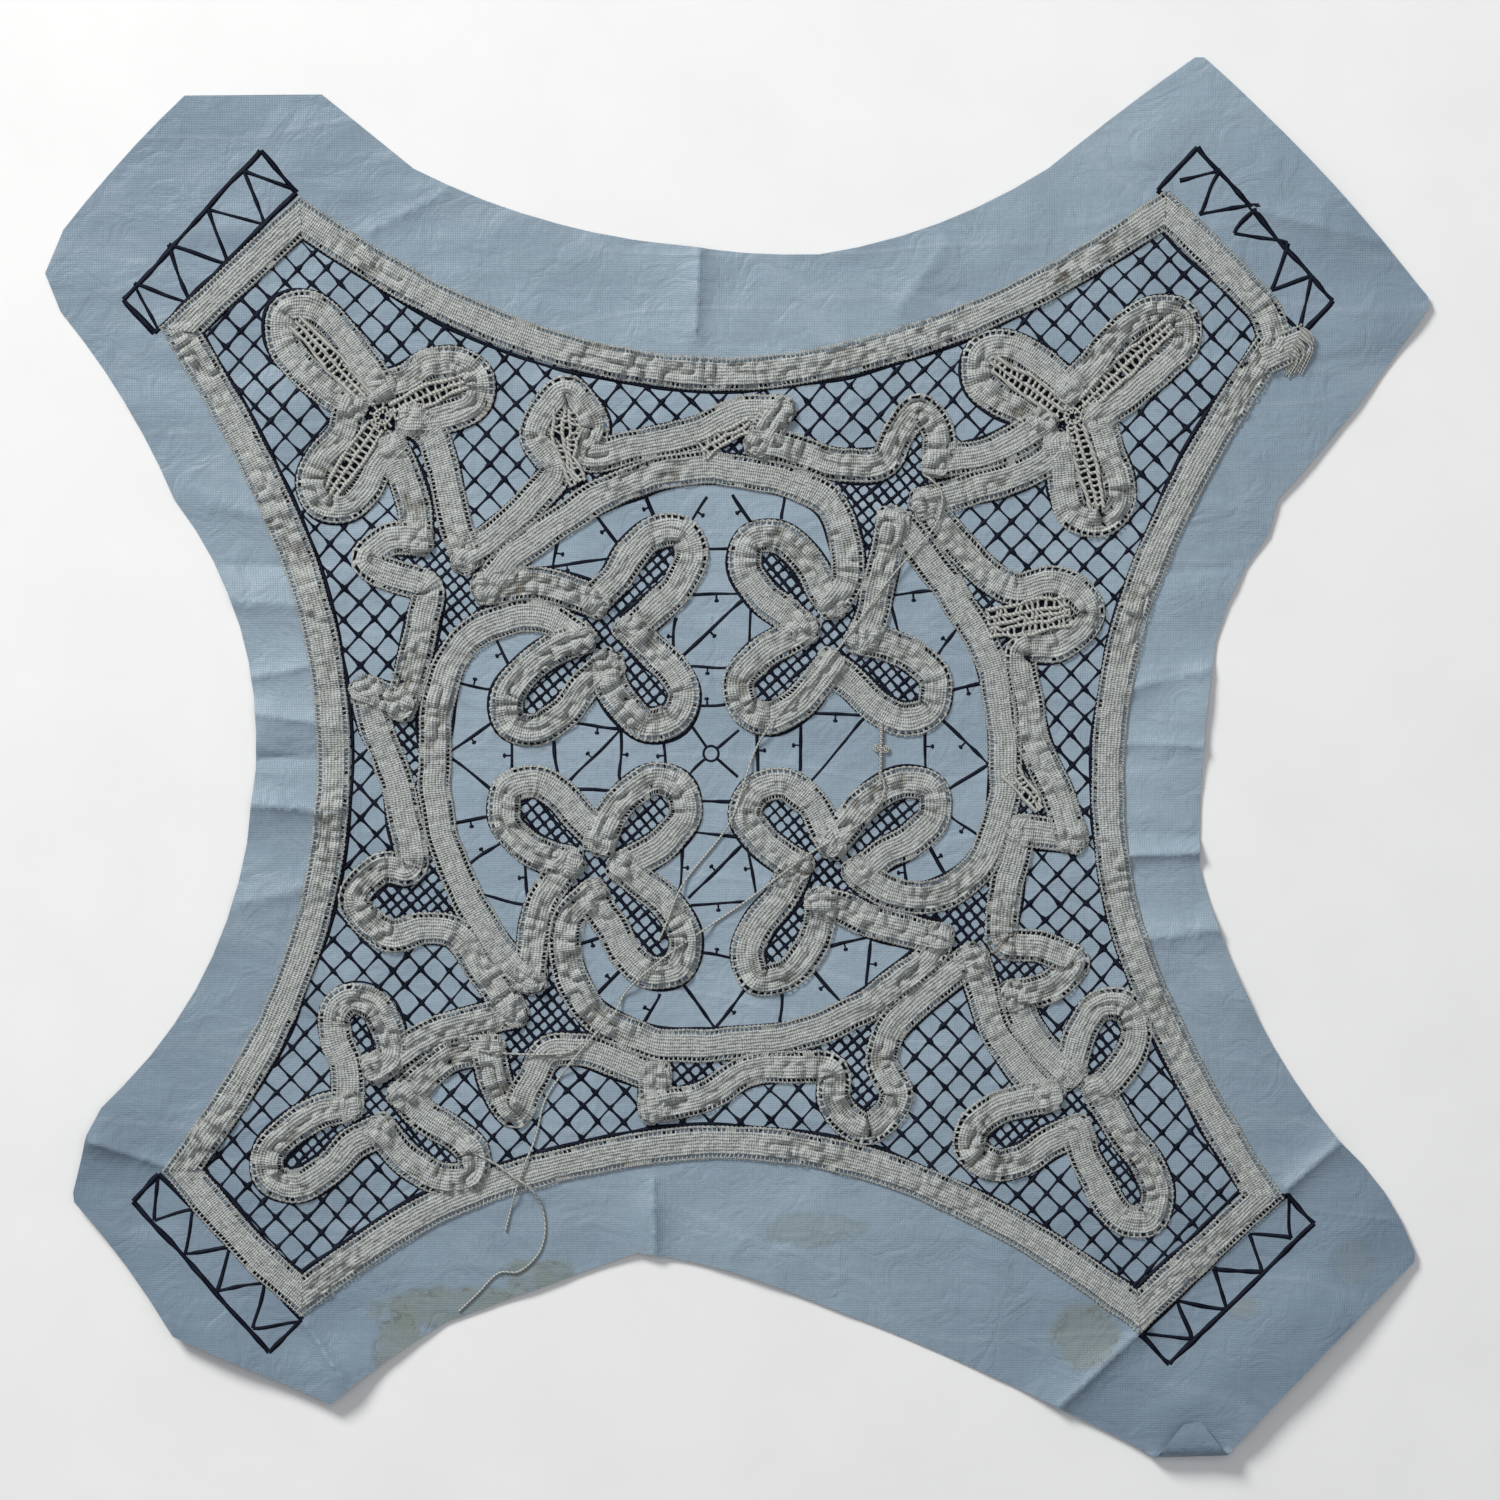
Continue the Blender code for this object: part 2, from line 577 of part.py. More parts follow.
def scroll_marks():
    """The scroll tape's marks, from the foot at the north-west all the way round."""
    marks = []
    for quarter in range(4):
        local = row_marks(SCROLL_SIDE, quarter)
        marks += [(placed(mark, quarter), fold, quarter, label) for mark, fold, label in local]
        corner = (quarter + 1) % 4
        local = flower_marks("scroll", corner, 1) + row_marks(SCROLL_EXIT, corner)
        marks += [(placed(mark, corner), fold, corner, label) for mark, fold, label in local]
    return marks


def spans_of(marks):
    """The closed route cut at its folds. Each span is the list of marks from one fold to the next."""
    folds = [i for i, mark in enumerate(marks) if mark[1]]
    around = marks + marks
    ends = [*folds[1:], folds[0] + len(marks)]
    return [around[start : end + 1] for start, end in zip(folds, ends)]


def border_points(longest=LONGEST_BORDER_STEP):
    """The border's middle line, closed, with its corners as single points."""
    points = []
    for row, after in zip(BORDER, (*BORDER[1:], BORDER[0])):
        start, end = np.array(row[1:3]), np.array(after[1:3])
        along = (end - start) / np.linalg.norm(end - start)
        inward = np.array([along[1], -along[0]])
        marks = [start]
        if any(row[3:]):
            steps = len(row) - 2
            marks += [start + (end - start) * k / steps + inward * sag for k, sag in enumerate(row[3:], 1)]
        marks.append(end)
        points.extend(stepped(smooth(marks), longest)[:-1])
    return np.array(points)


# Grounds that the tapes cover


def border_ground(half):
    points = border_points()
    ring = np.concatenate([points[-1:], points, points[:2]])
    left, right = rails(ring, half)
    faces = []
    for i in range(1, len(points) + 1):
        faces.append(counterclockwise([left[i], right[i], right[i + 1]]))
        faces.append(counterclockwise([left[i], right[i + 1], left[i + 1]]))
    return faces


def tape_ground(marks, half):
    faces = []
    for span in spans_of(marks):
        line = stepped(smooth([mark[0] for mark in span]), LONGEST_STEP)
        faces += strip(line, half)
        faces.append(disc(span[0][0], half * 0.97))
    return faces


def fold_points(marks):
    return np.array([mark[0] for mark in marks if mark[1]])


def gathers(folds, lines):
    """A height for each point of a tape: lumps at its folds, and puckers inside its bends."""
    stations, insides = [], []
    for line in lines:
        for i in range(1, len(line) - 1):
            before, after = line[i] - line[i - 1], line[i + 1] - line[i]
            cross = before[0] * after[1] - before[1] * after[0]
            turn = math.atan2(cross, before @ after)
            if abs(turn) < TURN_A_STEP * 0.6 or i % 2:
                continue
            side = np.array([-before[1], before[0]]) / np.linalg.norm(before)
            stations.append(line[i] + side * TAPE_HALF * 0.8 * math.copysign(1, turn))
    insides = np.array(stations)

    def height(point):
        lump = np.exp(-((np.linalg.norm(folds - point, axis=1) / GATHER_SPREAD) ** 2)).max()
        pucker = 0.0
        if len(insides):
            pucker = np.exp(-((np.linalg.norm(insides - point, axis=1) / 1.6) ** 2)).max()
        return LACE_TOP + GATHER_RISE * lump + PUCKER_RISE * pucker

    return height


# The sheet


def cut_edge():
    """The sheet's outline, with each bowed stretch as a shallow arc."""
    outline = []
    for row, after in zip(CUT_EDGE, (*CUT_EDGE[1:], CUT_EDGE[0])):
        start, end, bow = np.array(row[1:3]), np.array(after[1:3]), row[3]
        length = np.linalg.norm(end - start)
        outward = np.array([start[1] - end[1], end[0] - start[0]]) / length
        steps = max(1, round(length / EDGE_STEP)) if bow else max(1, round(length / (2 * EDGE_STEP)))
        for k in range(steps):
            share = k / steps
            outline.append(start + (end - start) * share + outward * bow * 4 * share * (1 - share))
    return np.array(outline)


def distance_to(points, outline):
    """How far each point is from the outline."""
    least = np.full(len(points), 1e9)
    for a, b in zip(outline, np.roll(outline, -1, axis=0)):
        way = b - a
        share = np.clip((points - a) @ way / (way @ way), 0, 1)
        least = np.minimum(least, np.linalg.norm(points - a - share[:, None] * way, axis=1))
    return least


def margin_rise(points):
    """How far the sheet lifts off the table outside the border, where creases and corners raise it."""
    border = border_points()
    beyond = distance_to(points, border) - TAPE_HALF - MARGIN_START
    beyond[inside(points, [border])] = 0.0
    share = np.clip(beyond / MARGIN_RAMP, 0, 1)
    share = share * share * (3 - 2 * share)
    rise = np.zeros(len(points))
    for _, x, y, bearing, height, width, reach in CREASES:
        along = (points - (x, y)) @ toward(bearing, 1.0)
        off = (points - (x, y)) @ toward(bearing + 90, 1.0)
        rise += height * np.exp(-((off / width) ** 2) - (along / reach) ** 4)
    for _, x, y, height, spread in LIFTS:
        rise += height * np.exp(-((np.linalg.norm(points - (x, y), axis=1) / spread) ** 2))
    return rise * share


def curled(points, heights):
    """The dog-ear's tongue, rolled up and back over the sheet past its line."""
    start, end = np.array(EAR_START), np.array(EAR_END)
    along = (end - start) / np.linalg.norm(end - start)
    outward = np.array([-along[1], along[0]])
    past = (points - start) @ outward
    beside = (points - start) @ along
    tongue = (past > 1e-6) & (beside > -1) & (beside < np.linalg.norm(end - start) + 1)
    placed_points = np.column_stack([points, heights])
    for i in np.flatnonzero(tongue):
        angle = min(past[i] / EAR_RADIUS, math.pi)
        flat = past[i] - angle * EAR_RADIUS
        over = EAR_RADIUS * math.sin(angle) - flat
        reach = over - past[i]
        placed_points[i, :2] += outward * reach
        placed_points[i, 2] += EAR_RADIUS * (1 - math.cos(angle))
    return placed_points


# Meshes


def finish_of(name):
    material = bpy.data.materials.get(name)
    if material is None:
        material = bpy.data.materials.new(name)
        material.use_nodes = True
        red, green, blue, roughness = COLOURS[name]
        shader = material.node_tree.nodes["Principled BSDF"]
        shader.inputs["Base Color"].default_value = (red, green, blue, 1)
        shader.inputs["Roughness"].default_value = roughness
        shader.inputs["Metallic"].default_value = 0
    return material


def slab(name, points, triangles, bottom, top, finish, collection):
    """A thin piece with that ground, from its bottom up to its top, each a height for every point."""
    mesh = bpy.data.meshes.new(name)
    body = bmesh.new()
    used = sorted({corner for triangle in triangles for corner in triangle})
    low = {k: body.verts.new((points[k][0] * MM, points[k][1] * MM, bottom(points[k]) * MM)) for k in used}
    for triangle in triangles:
        body.faces.new([low[k] for k in triangle])
    body.normal_update()
    raised = {low[k].co.to_tuple(7): points[k] for k in used}
    made = bmesh.ops.extrude_face_region(body, geom=body.faces[:], use_keep_orig=True)
    for item in made["geom"]:
        if isinstance(item, bmesh.types.BMVert):
            item.co.z = top(raised[item.co.to_tuple(7)]) * MM
    bmesh.ops.recalc_face_normals(body, faces=body.faces)
    body.to_mesh(mesh)
    body.free()
    return placed_object(name, mesh, finish, collection)


def placed_object(name, data, finish, collection):
    data.materials.append(finish_of(finish))
    made = bpy.data.objects.new(name, data)
    made.location = (-BOX_CENTRE[0] * MM, -BOX_CENTRE[1] * MM, 0)
    collection.objects.link(made)
    return made


def level(height):
    return lambda point: height


def make_sheet(collection):
    outline = cut_edge()
    low, high = outline.min(axis=0), outline.max(axis=0)
    columns = np.arange(low[0] + SHEET_GRID / 2, high[0], SHEET_GRID)
    lines = np.arange(low[1] + SHEET_GRID / 2, high[1], SHEET_GRID)
    grid = np.array([(x, y) for y in lines for x in columns])
    grid = grid[inside(grid, [outline]) & (distance_to(grid, outline) > SHEET_GRID / 3)]
    start, end = np.array(EAR_START), np.array(EAR_END)
    outward = np.array([start[1] - end[1], end[0] - start[0]]) / np.linalg.norm(end - start)
    ear = [
        start + (end - start) * share - outward * EAR_RADIUS * math.radians(angle)
        for share in (0.25, 0.5, 0.75)
        for angle in (0, 60, 120, 180)
    ]
    ear = np.array(ear)
    grid = np.concatenate([grid, ear[inside(ear, [outline])]])
    found, triangles = filled([outline], grid)
    under = curled(found, margin_rise(found))

    mesh = bpy.data.meshes.new("pattern_sheet")
    mesh.from_pydata([tuple(p * MM) for p in under], [], [tuple(t) for t in triangles])
    sheet = placed_object("pattern_sheet", mesh, "paper", collection)
    thickness = sheet.modifiers.new("thickness", "SOLIDIFY")
    thickness.thickness = SHEET_THICK * MM
    thickness.offset = 1
    return sheet


def widened(outline, by):
    """A convex outline, counterclockwise, with each corner moved out."""
    middle = outline.mean(axis=0)
    out = outline - middle
    return middle + out * (1 + by / np.linalg.norm(out, axis=1))[:, None]


def make_border(collection):
    """The border tape, doubled where its cut end laps over its start."""
    lap = np.array(counterclockwise([row[1:] for row in LAP]))
    points, triangles = region([*border_ground(TAPE_HALF), [tuple(p) for p in lap]])
    outlines = [eased(loop) for loop in loops_of(points, triangles)]
    extra = np.concatenate([widened(lap, -LAP_SLOPE), widened(lap, LAP_SLOPE / 4)])
    points, triangles = filled(outlines, extra[inside(extra, outlines)])

    def top(point):
        doubled = inside(np.array([point]), [lap])[0]
        return LACE_TOP + LAP_RISE * doubled

    slab("border_tape", points, triangles, level(LACE_BASE), top, "tape", collection)


def make_tapes(collection):
    """The three tapes, each kept clear of those laid before it. Returns their widened grounds."""
    ring, scroll = ring_marks(), scroll_marks()
    apart = TAPE_HALF + CLEAR
    border_wide = border_ground(apart)
    ring_wide = tape_ground(ring, apart)
    scroll_wide = tape_ground(scroll, apart)
    make_border(collection)
    for name, marks, others in (
        ("ring_tape", ring, border_wide),
        ("scroll_tape", scroll, border_wide + ring_wide),
    ):
        points, triangles = region(tape_ground(marks, TAPE_HALF), others)
        main = pieces_of(points, triangles)[0]
        outlines = [eased(loop) for loop in loops_of(points, main)]
        folds = fold_points(marks)
        points, triangles = filled(outlines, folds[inside(folds, outlines)])
        lines = [stepped(smooth([mark[0] for mark in span]), LONGEST_STEP) for span in spans_of(marks)]
        slab(name, points, triangles, level(LACE_BASE), gathers(folds, lines), "tape", collection)
    return border_wide, ring_wide, scroll_wide


def make_filling(name, cover, tapes, collection):
    points, triangles = region([counterclockwise(face) for face in cover], tapes)
    if not triangles:
        return
    piece = pieces_of(points, triangles)[0]
    if area_of(points, piece) < SMALLEST_FILLING:
        return
    points, triangles = filled([eased(loop) for loop in loops_of(points, piece)])
    top = level(LACE_BASE + FILLING_THICK)
    slab(name, points, triangles, level(LACE_BASE), top, "thread", collection)


def make_fillings(collection, tapes):
    """Needle-made fillings in the gaps that the scroll tape leaves."""
    marks = scroll_marks()
    for quarter_name in FLOWER_FILLINGS:
        quarter = QUARTERS.index(quarter_name)
        row = next(row for row in HEARTS if row[:2] == ("scroll", quarter_name))
        heart = placed(row[2:4], quarter)
        cover = [disc(heart, HEART_RADIUS)]
        for petal in range(3):
            loop = [mark[0] for mark in marks if mark[2] == quarter and mark[3] == petal]
            cover.append([*loop, heart])
        make_filling("filling_" + quarter_name.replace("-", "_"), cover, tapes, collection)
    sides = ("north", "east", "south", "west")
    labels = [row[0] for row in SCROLL_SIDE]
    for name, side, first, last, foot in SIDE_FILLINGS:
        quarter = sides.index(side)
        run = SCROLL_SIDE[labels.index(first) : labels.index(last) + 1]
        corners = [placed(corner, quarter) for corner in [*(row[1 + quarter] for row in run), foot]]
        make_filling("filling_" + name, [corners], tapes, collection)


def make_bar(collection, tapes):
    cover = strip(np.array(BAR_LINE), BAR_HALF) + [disc(np.array(p), PICOT_RADIUS, 7) for p in PICOTS]
    points, triangles = region(cover, tapes)
    piece = pieces_of(points, triangles)[0]
    points, triangles = filled([eased(loop) for loop in loops_of(points, piece)])
    top = level(LACE_BASE + FILLING_THICK)
    slab("worked_bar", points, triangles, level(LACE_BASE), top, "thread", collection)


def make_fray(collection, border):
    """The threads that fray out of the border tape's cut end, fused at their roots into a strip."""
    corners = {row[0]: np.array(row[1:]) for row in LAP}
    start, end = corners["end corner"], corners["lower selvedge"]
    along = (end - start) / np.linalg.norm(end - start)
    outward = np.array([-along[1], along[0]])
    shift = outward * (CLEAR + FRAY_STRIP_HALF + FRAY_HALF)
    start, end = start + shift, end + shift
    cover = strip(np.array([start, end]), FRAY_STRIP_HALF)
    for k in range(FRAY_COUNT):
        share = (k + 0.5) / FRAY_COUNT
        root = start + (end - start) * share
        elbow = root + outward * (FRAY_STRIP_HALF + CLEAR + FRAY_HALF + FRAY_PITCH * (FRAY_COUNT - 1 - k))
        length = FRAY_LONGEST + (FRAY_SHORTEST - FRAY_LONGEST) * share + FRAY_UNEVEN * (k % 2)
        cover += strip(np.array([root, elbow - along * FRAY_HALF]), FRAY_HALF)
        cover += strip(np.array([elbow - along * 2 * FRAY_HALF, elbow + along * length]), FRAY_HALF)
    lap = [tuple(p) for p in widened(np.array(counterclockwise([row[1:] for row in LAP])), CLEAR)]
    points, triangles = region(cover, [*border, lap])
    piece = pieces_of(points, triangles)[0]
    points, triangles = filled([eased(loop) for loop in loops_of(points, piece)])

    def top(point):
        beyond = (point - start) @ outward / (FRAY_PITCH * FRAY_COUNT)
        return LACE_TOP + FRAY_RISE * (1 - np.clip(beyond, 0, 1))

    slab("border_fray", points, triangles, level(LACE_BASE), top, "thread", collection)


def support_height(tapes, border):
    """What a thread rests on at a point: the tapes near it, or the sheet."""
    grounds = [border]
    for marks in tapes:
        for span in spans_of(marks):
            grounds.append(smooth([mark[0] for mark in span]))
    everything = np.concatenate([*grounds])
    folds = np.concatenate([fold_points(marks) for marks in tapes])

    def height(point):
        near = np.linalg.norm(everything - point, axis=1).min()
        lump = np.exp(-((np.linalg.norm(folds - point, axis=1) / GATHER_SPREAD) ** 2)).max()
        if near > TAPE_HALF + 1.0:
            return SHEET_THICK
        return LACE_TOP + PUCKER_RISE + GATHER_RISE * lump

    return height


def make_threads(collection):
    under = support_height((ring_marks(), scroll_marks()), border_points(THREAD_STEP / 3))
    for name, route in THREADS:
        line = smooth([point[:2] for point in route])
        lifts = np.interp(
            np.linspace(0, 1, len(line)),
            np.linspace(0, 1, len(route)),
            [point[2] for point in route],
        )
        count = max(5, round(np.linalg.norm(np.diff(line, axis=0), axis=1).sum() / THREAD_STEP))
        picked = np.linspace(0, len(line) - 1, count + 1).round().astype(int)
        window = int(THREAD_STEP * 0.75 / FINE_STEP)
        rest = np.array([under(point) for point in line])
        curve = bpy.data.curves.new(name, "CURVE")
        curve.dimensions = "3D"
        curve.bevel_depth = THREAD_RADIUS * MM
        curve.bevel_resolution = 2
        curve.use_fill_caps = True
        spline = curve.splines.new("POLY")
        spline.points.add(len(picked) - 1)
        for control, index in zip(spline.points, picked):
            low, high = max(0, index - window), index + window + 1
            z = rest[low:high].max() + CLEAR + THREAD_RADIUS + lifts[index]
            control.co = (line[index][0] * MM, line[index][1] * MM, z * MM, 1)
        placed_object(name, curve, "thread", collection)


def main():
    for old in list(bpy.data.objects):
        bpy.data.objects.remove(old, do_unlink=True)
    collection = bpy.data.collections.new("tape_lace")
    bpy.context.scene.collection.children.link(collection)
    make_sheet(collection)
    border, ring, scroll = make_tapes(collection)
    make_fillings(collection, border + ring + scroll)
    make_bar(collection, ring)
    make_fray(collection, border)
    make_threads(collection)


main()
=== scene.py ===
"""A half-worked tape lace, basted flat on the pattern sheet that it is made on: the detailed model.

Sizes are in millimetres until a mesh is made, and are measured as the solids' own tables are. North is
+Y. The ring and the scroll repeat four times: each quarter is given as it lies when it is turned to the
north-west.
"""

import math

import bmesh
import bpy
import numpy as np
from mathutils.geometry import delaunay_2d_cdt
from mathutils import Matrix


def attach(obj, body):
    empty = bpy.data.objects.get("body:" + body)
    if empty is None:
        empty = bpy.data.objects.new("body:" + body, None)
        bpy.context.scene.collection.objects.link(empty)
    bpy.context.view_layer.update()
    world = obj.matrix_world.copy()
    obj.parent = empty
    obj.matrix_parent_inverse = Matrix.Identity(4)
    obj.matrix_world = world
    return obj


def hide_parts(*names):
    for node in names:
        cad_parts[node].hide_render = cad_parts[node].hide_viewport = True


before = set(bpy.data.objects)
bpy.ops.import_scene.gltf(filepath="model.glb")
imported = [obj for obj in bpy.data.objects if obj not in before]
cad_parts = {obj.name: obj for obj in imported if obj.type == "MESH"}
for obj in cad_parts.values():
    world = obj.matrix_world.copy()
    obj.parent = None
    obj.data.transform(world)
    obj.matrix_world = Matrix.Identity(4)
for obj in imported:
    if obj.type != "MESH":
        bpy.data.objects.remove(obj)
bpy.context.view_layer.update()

MM = 0.001

# Where the tables' zero lies in the frame, and how finely lines are followed
BOX_CENTRE = (-0.15, 0.0)
LACE_CENTRE = (-6.7, 0.5)
QUARTERS = ("north-west", "north-east", "south-east", "south-west")
SIDE_NAMES = ("north", "east", "south", "west")
FINE_STEP = 0.5
EDGE_STEP = 11.0

# The sheet: its heights above the table, its mesh, and where its margin starts to lift
SHEET_FACE = 0.95
SHEET_CLOTH = 0.35
SHEET_LOWEST = 0.45
SHEET_SPRING = 0.5
SHEET_GRID = 2.0
CREASE_STEP = 1.5
CREASE_FLANK = 0.45
SLIVER = 0.01
FOLD_STRENGTH = 1.4
MARGIN_START = 3.0
MARGIN_RAMP = 24.0

# The woven tape
TAPE_HALF = 4.8
TAPE_LIFT = 0.38
TAPE_CLEARANCE = 0.08
LAP_LIFT = 0.75
LADDER_GAP = 0.84
LADDER_BAR = 0.46
FOLD_REACH = 4.2
FOLD_TAIL = 7.8
FOLD_SQUARENESS = 6
RUN_APART = 11.0
TIGHTEST = 0.92
SCALLOP = 0.34
LUMP_RISE = 0.5
LUMP_SPREAD = 4.0
OPEN_SHARE = 0.55
MATTED_OVER = 0.42
SHUT_BY_FOLDS = 0.7
RIBS_WITHIN = 3
CORDS_BEYOND = 4
SELVEDGE_EASE = 1.2
SELVEDGE_SHARE = 0.3
FOLD_PLUMPNESS = 0.15

# The tape's pleats and puffs, and how worn it is along its way
PLEAT = 3.5
PLEAT_HEIGHT = 2.3
PLEAT_LEVEL = 0.6
PUFF_HEIGHT = 1.45
PUFF_TOP = 1.25
PUFF_LEVEL = 0.5
WEAR = 0.46
WEAR_AT_BENDS = 0.9
LEAST_WORN = 0.12
MOST_WORN = 1.45
RIB_LEVEL = 0.4
RIB_SHARE = 0.8
LEAST_RIBBED = 0.25
MOST_RIBBED = 1.2
HOLLOW_DEPTH = 1.8

# How uneven the tapes are: by how much, the size of its lumps along the tape, how much faster it
# changes across the tape, and its own shift.
TAPE_STRAY = {
    # what: amount, size, across, shift
    "width": (0.05, 6.0, 0.0, 0.4),
    "folded width": (0.5, 7.0, 0.0, 1.9),
    "columns": (0.17, 3.2, 2.5, 4.4),
    "selvedges": (0.5, 7.0, 8.0, 5.1),
    "wear": (0.8, 24.0, 0.0, 1.3),
    "pleat places": (0.9, 6.0, 0.35, 0.7),
    "pleat depth": (0.9, 4.1, 0.0, 2.1),
    "puffs": (2.3, 3.0, 0.9, 0.2),
    "crumples": (0.3, 1.4, 1.0, 0.9),
    "knots": (0.27, 0.95, 1.0, 3.3),
    "ribs": (0.9, 8.0, 0.6, 6.2),
    "matting": (1.0, 3.0, 1.0, 7.7),
}

# Ink and thread, with their heights above the sheet
INK_LIFT = 0.07
INK_FLATNESS = 0.12
BAR_OVERRUN = 1.8
PENS = {
    # line: width, wobble, step
    "bar": (0.9, 0.6, 1.2),
    "picot": (0.55, 0.1, 0.8),
    "spoke": (0.7, 0.3, 1.2),
    "box": (1.45, 0.5, 1.6),
    "zigzag": (1.1, 0.6, 1.6),
}
THREAD_RADIUS = 0.3
NET_THREAD = 0.38
FINE_THREAD = 0.26
FRAYED_THREAD = 0.27
BRIDGE_PITCH = 1.9
RIB_PITCH = 2.0
RIM_OUT = 0.7
HEART_REACH = 5.2
HEART_SPOKES = 9
HEART_ROUND = 2.4
NET_HEIGHT = 0.85
RIM_HEIGHT = 1.0
BAR_TURN = 0.66
BAR_HEIGHT = 0.8
BAR_HALF = 0.42
BAR_ROUND = 0.36
DRAWN_PICOT = 1.9
GRID_REACH = 240
OUTLINE_STEP = 1.3

# The sheet's cut edge, clockwise. Each stretch runs from its point to the next, and bows out to the
# left of that way by so much.
CUT_EDGE = (
    # stretch                x       y      bow
    ("north-west point", -200.7, 139.1, 0.0),
    ("north-west slant", -195.5, 151.8, 1.0),
    ("north-west top", -160.4, 190.7, 0.0),
    ("north-west fall", -120.6, 191.0, 0.0),
    ("north hollow", -94.0, 169.5, -3.7),
    ("north middle", -19.1, 147.5, -1.0),
    ("north rise", 23.5, 144.6, -3.8),
    ("north-east climb", 89.9, 169.5, 0.5),
    ("north-east tip", 132.5, 201.7, 0.0),
    ("north-east slant", 135.1, 201.7, 2.0),
    ("east point", 199.8, 132.4, 0.0),
    ("east fall", 200.4, 129.8, 1.5),
    ("east nick", 156.3, 73.5, 0.0),
    ("east hollow", 153.7, 63.4, -3.6),
    ("east middle", 136.9, 21.6, -1.0),
    ("east run", 133.7, -32.9, -4.8),
    ("south-east shoulder", 174.0, -112.1, 2.6),
    ("south-east point", 196.0, -144.6, 0.0),
    ("south-east slant", 195.8, -147.2, -0.5),
    ("dog-ear base", 143.6, -200.5, 0.0),
    ("dog-ear tip", 134.6, -214.4, 0.0),
    ("dog-ear side", 129.6, -214.0, 0.0),
    ("south-east rise", 117.5, -201.7, -1.5),
    ("south middle", 18.9, -157.6, -1.8),
    ("south notch", -29.3, -144.6, 0.0),
    ("south fall", -84.7, -164.9, -1.0),
    ("south-west tip", -117.7, -188.1, 0.0),
    ("south-west slant", -163.3, -168.6, -1.0),
    ("west point", -192.0, -129.8, 0.0),
    ("west turn", -192.3, -127.0, 0.0),
    ("west shoulder", -188.2, -110.3, 1.3),
    ("west run", -178.1, -96.4, -8.0),
    ("west middle", -140.7, -14.4, -1.0),
    ("west hollow", -140.1, 16.1, -4.3),
    ("west climb", -163.3, 73.5, -2.3),
    ("west top", -196.3, 128.0, 0.0),
)

# Soft creases across the sheet's margins: each is a ridge along a line through its point.
CREASES = (
    # crease                 x       y    bearing  height  width  reach
    ("west upper fold", -150.0, 0.0, 0.0, 1.6, 7.0, 40.0),
    ("west lower fold", -150.0, -18.0, 3.0, 1.3, 6.0, 40.0),
    ("west soft fold", -155.0, 50.0, -4.0, 0.9, 7.0, 40.0),
    ("east upper fold", 150.0, 20.0, 12.0, 1.4, 7.0, 40.0),
    ("east lower fold", 150.0, -26.0, 0.0, 1.5, 7.0, 40.0),
    ("north fold", -12.0, 150.0, 90.0, 1.4, 7.0, 30.0),
    ("south fold", -27.0, -150.0, 90.0, 1.4, 7.0, 30.0),
    ("south-west corner fold", -122.0, -172.0, 124.0, 1.5, 7.0, 45.0),
    ("west corner fold", -176.0, -115.0, -20.0, 1.3, 7.0, 35.0),
    ("south-east corner fold", 102.0, -180.0, 43.0, 1.2, 7.0, 40.0),
    ("east corner fold", 166.0, -119.0, 42.0, 1.2, 7.0, 35.0),
)

# Corners of the sheet that have come up off the table.
LIFTS = (
    # corner            x       y    height  spread
    ("south-west", -150.0, -185.0, 5.0, 38.0),
    ("west", -200.0, -125.0, 3.0, 30.0),
    ("south-east", 165.0, -185.0, 5.0, 40.0),
    ("north-east", 175.0, 175.0, 1.5, 35.0),
)

# The dog-ear: the tongue past this line curls up and back over the sheet.
EAR_START = (143.6, -200.5)
EAR_END = (117.5, -201.7)
EAR_RADIUS = 1.7

# The border tape's middle line: mitred corners, and how far each side is drawn in at every sixth of
# its way to the next corner.
BORDER = (
    # side             corner x  corner y   1/6    2/6    3/6    4/6    5/6
    ("north-west end", -161.5, 122.5, 0.0, 0.0, 0.0, 0.0, 0.0),
    ("north side", -126.7, 155.3, 25.6, 41.1, 46.4, 39.9, 24.6),
    ("north-east end", 123.8, 157.3, -1.0, -1.8, -2.5, -3.0, -3.2),
    ("east side", 155.6, 119.9, 24.3, 40.9, 46.5, 41.9, 24.8),
    ("south-east end", 152.0, -128.3, 0.0, 0.0, 0.0, 0.0, 0.0),
    ("south side", 116.0, -161.7, 25.5, 41.6, 46.7, 40.8, 27.3),
    ("south-west end", -126.2, -157.0, -0.9, -1.4, -1.4, -1.1, -0.6),
    ("west side", -161.0, -120.8, 25.8, 40.1, 44.1, 38.7, 22.8),
)

# The ring, from one foot to the next: the arc, then a flower, then the way out to the next foot.
RING_ARC = (
    # mark               north-west      north-east      south-east      south-west
    ("foot fold", (-53.3, -65.6), (-47.5, -65.8), (-51.4, -66.6), (-53.7, -64.5)),
    ("off the foot", (-58.8, -61.8), (-53.0, -62.0), (-56.0, -63.0), (-58.9, -62.4)),
    ("low arc", (-68.1, -48.8), (-65.5, -46.5), (-68.5, -46.0), (-69.5, -50.0)),
    ("lower side", (-78.0, -27.0), (-77.5, -26.0), (-79.5, -27.5), (-81.0, -28.0)),
    ("crown", (-81.4, 0.0), (-82.0, -4.0), (-83.8, -2.0), (-84.8, 0.0)),
    ("upper side", (-79.3, 18.0), (-79.5, 17.0), (-82.5, 20.5), (-83.6, 20.8)),
    ("shoulder", (-71.5, 33.0), (-72.0, 33.0), (-75.0, 35.0), (-75.8, 35.5)),
    ("turn in", (-59.4, 38.8), (-60.0, 38.2), (-62.5, 42.0), (-60.4, 42.8)),
    ("return", (-47.8, 38.2), (-51.0, 38.6), (-50.0, 40.8), (-48.2, 42.6)),
)
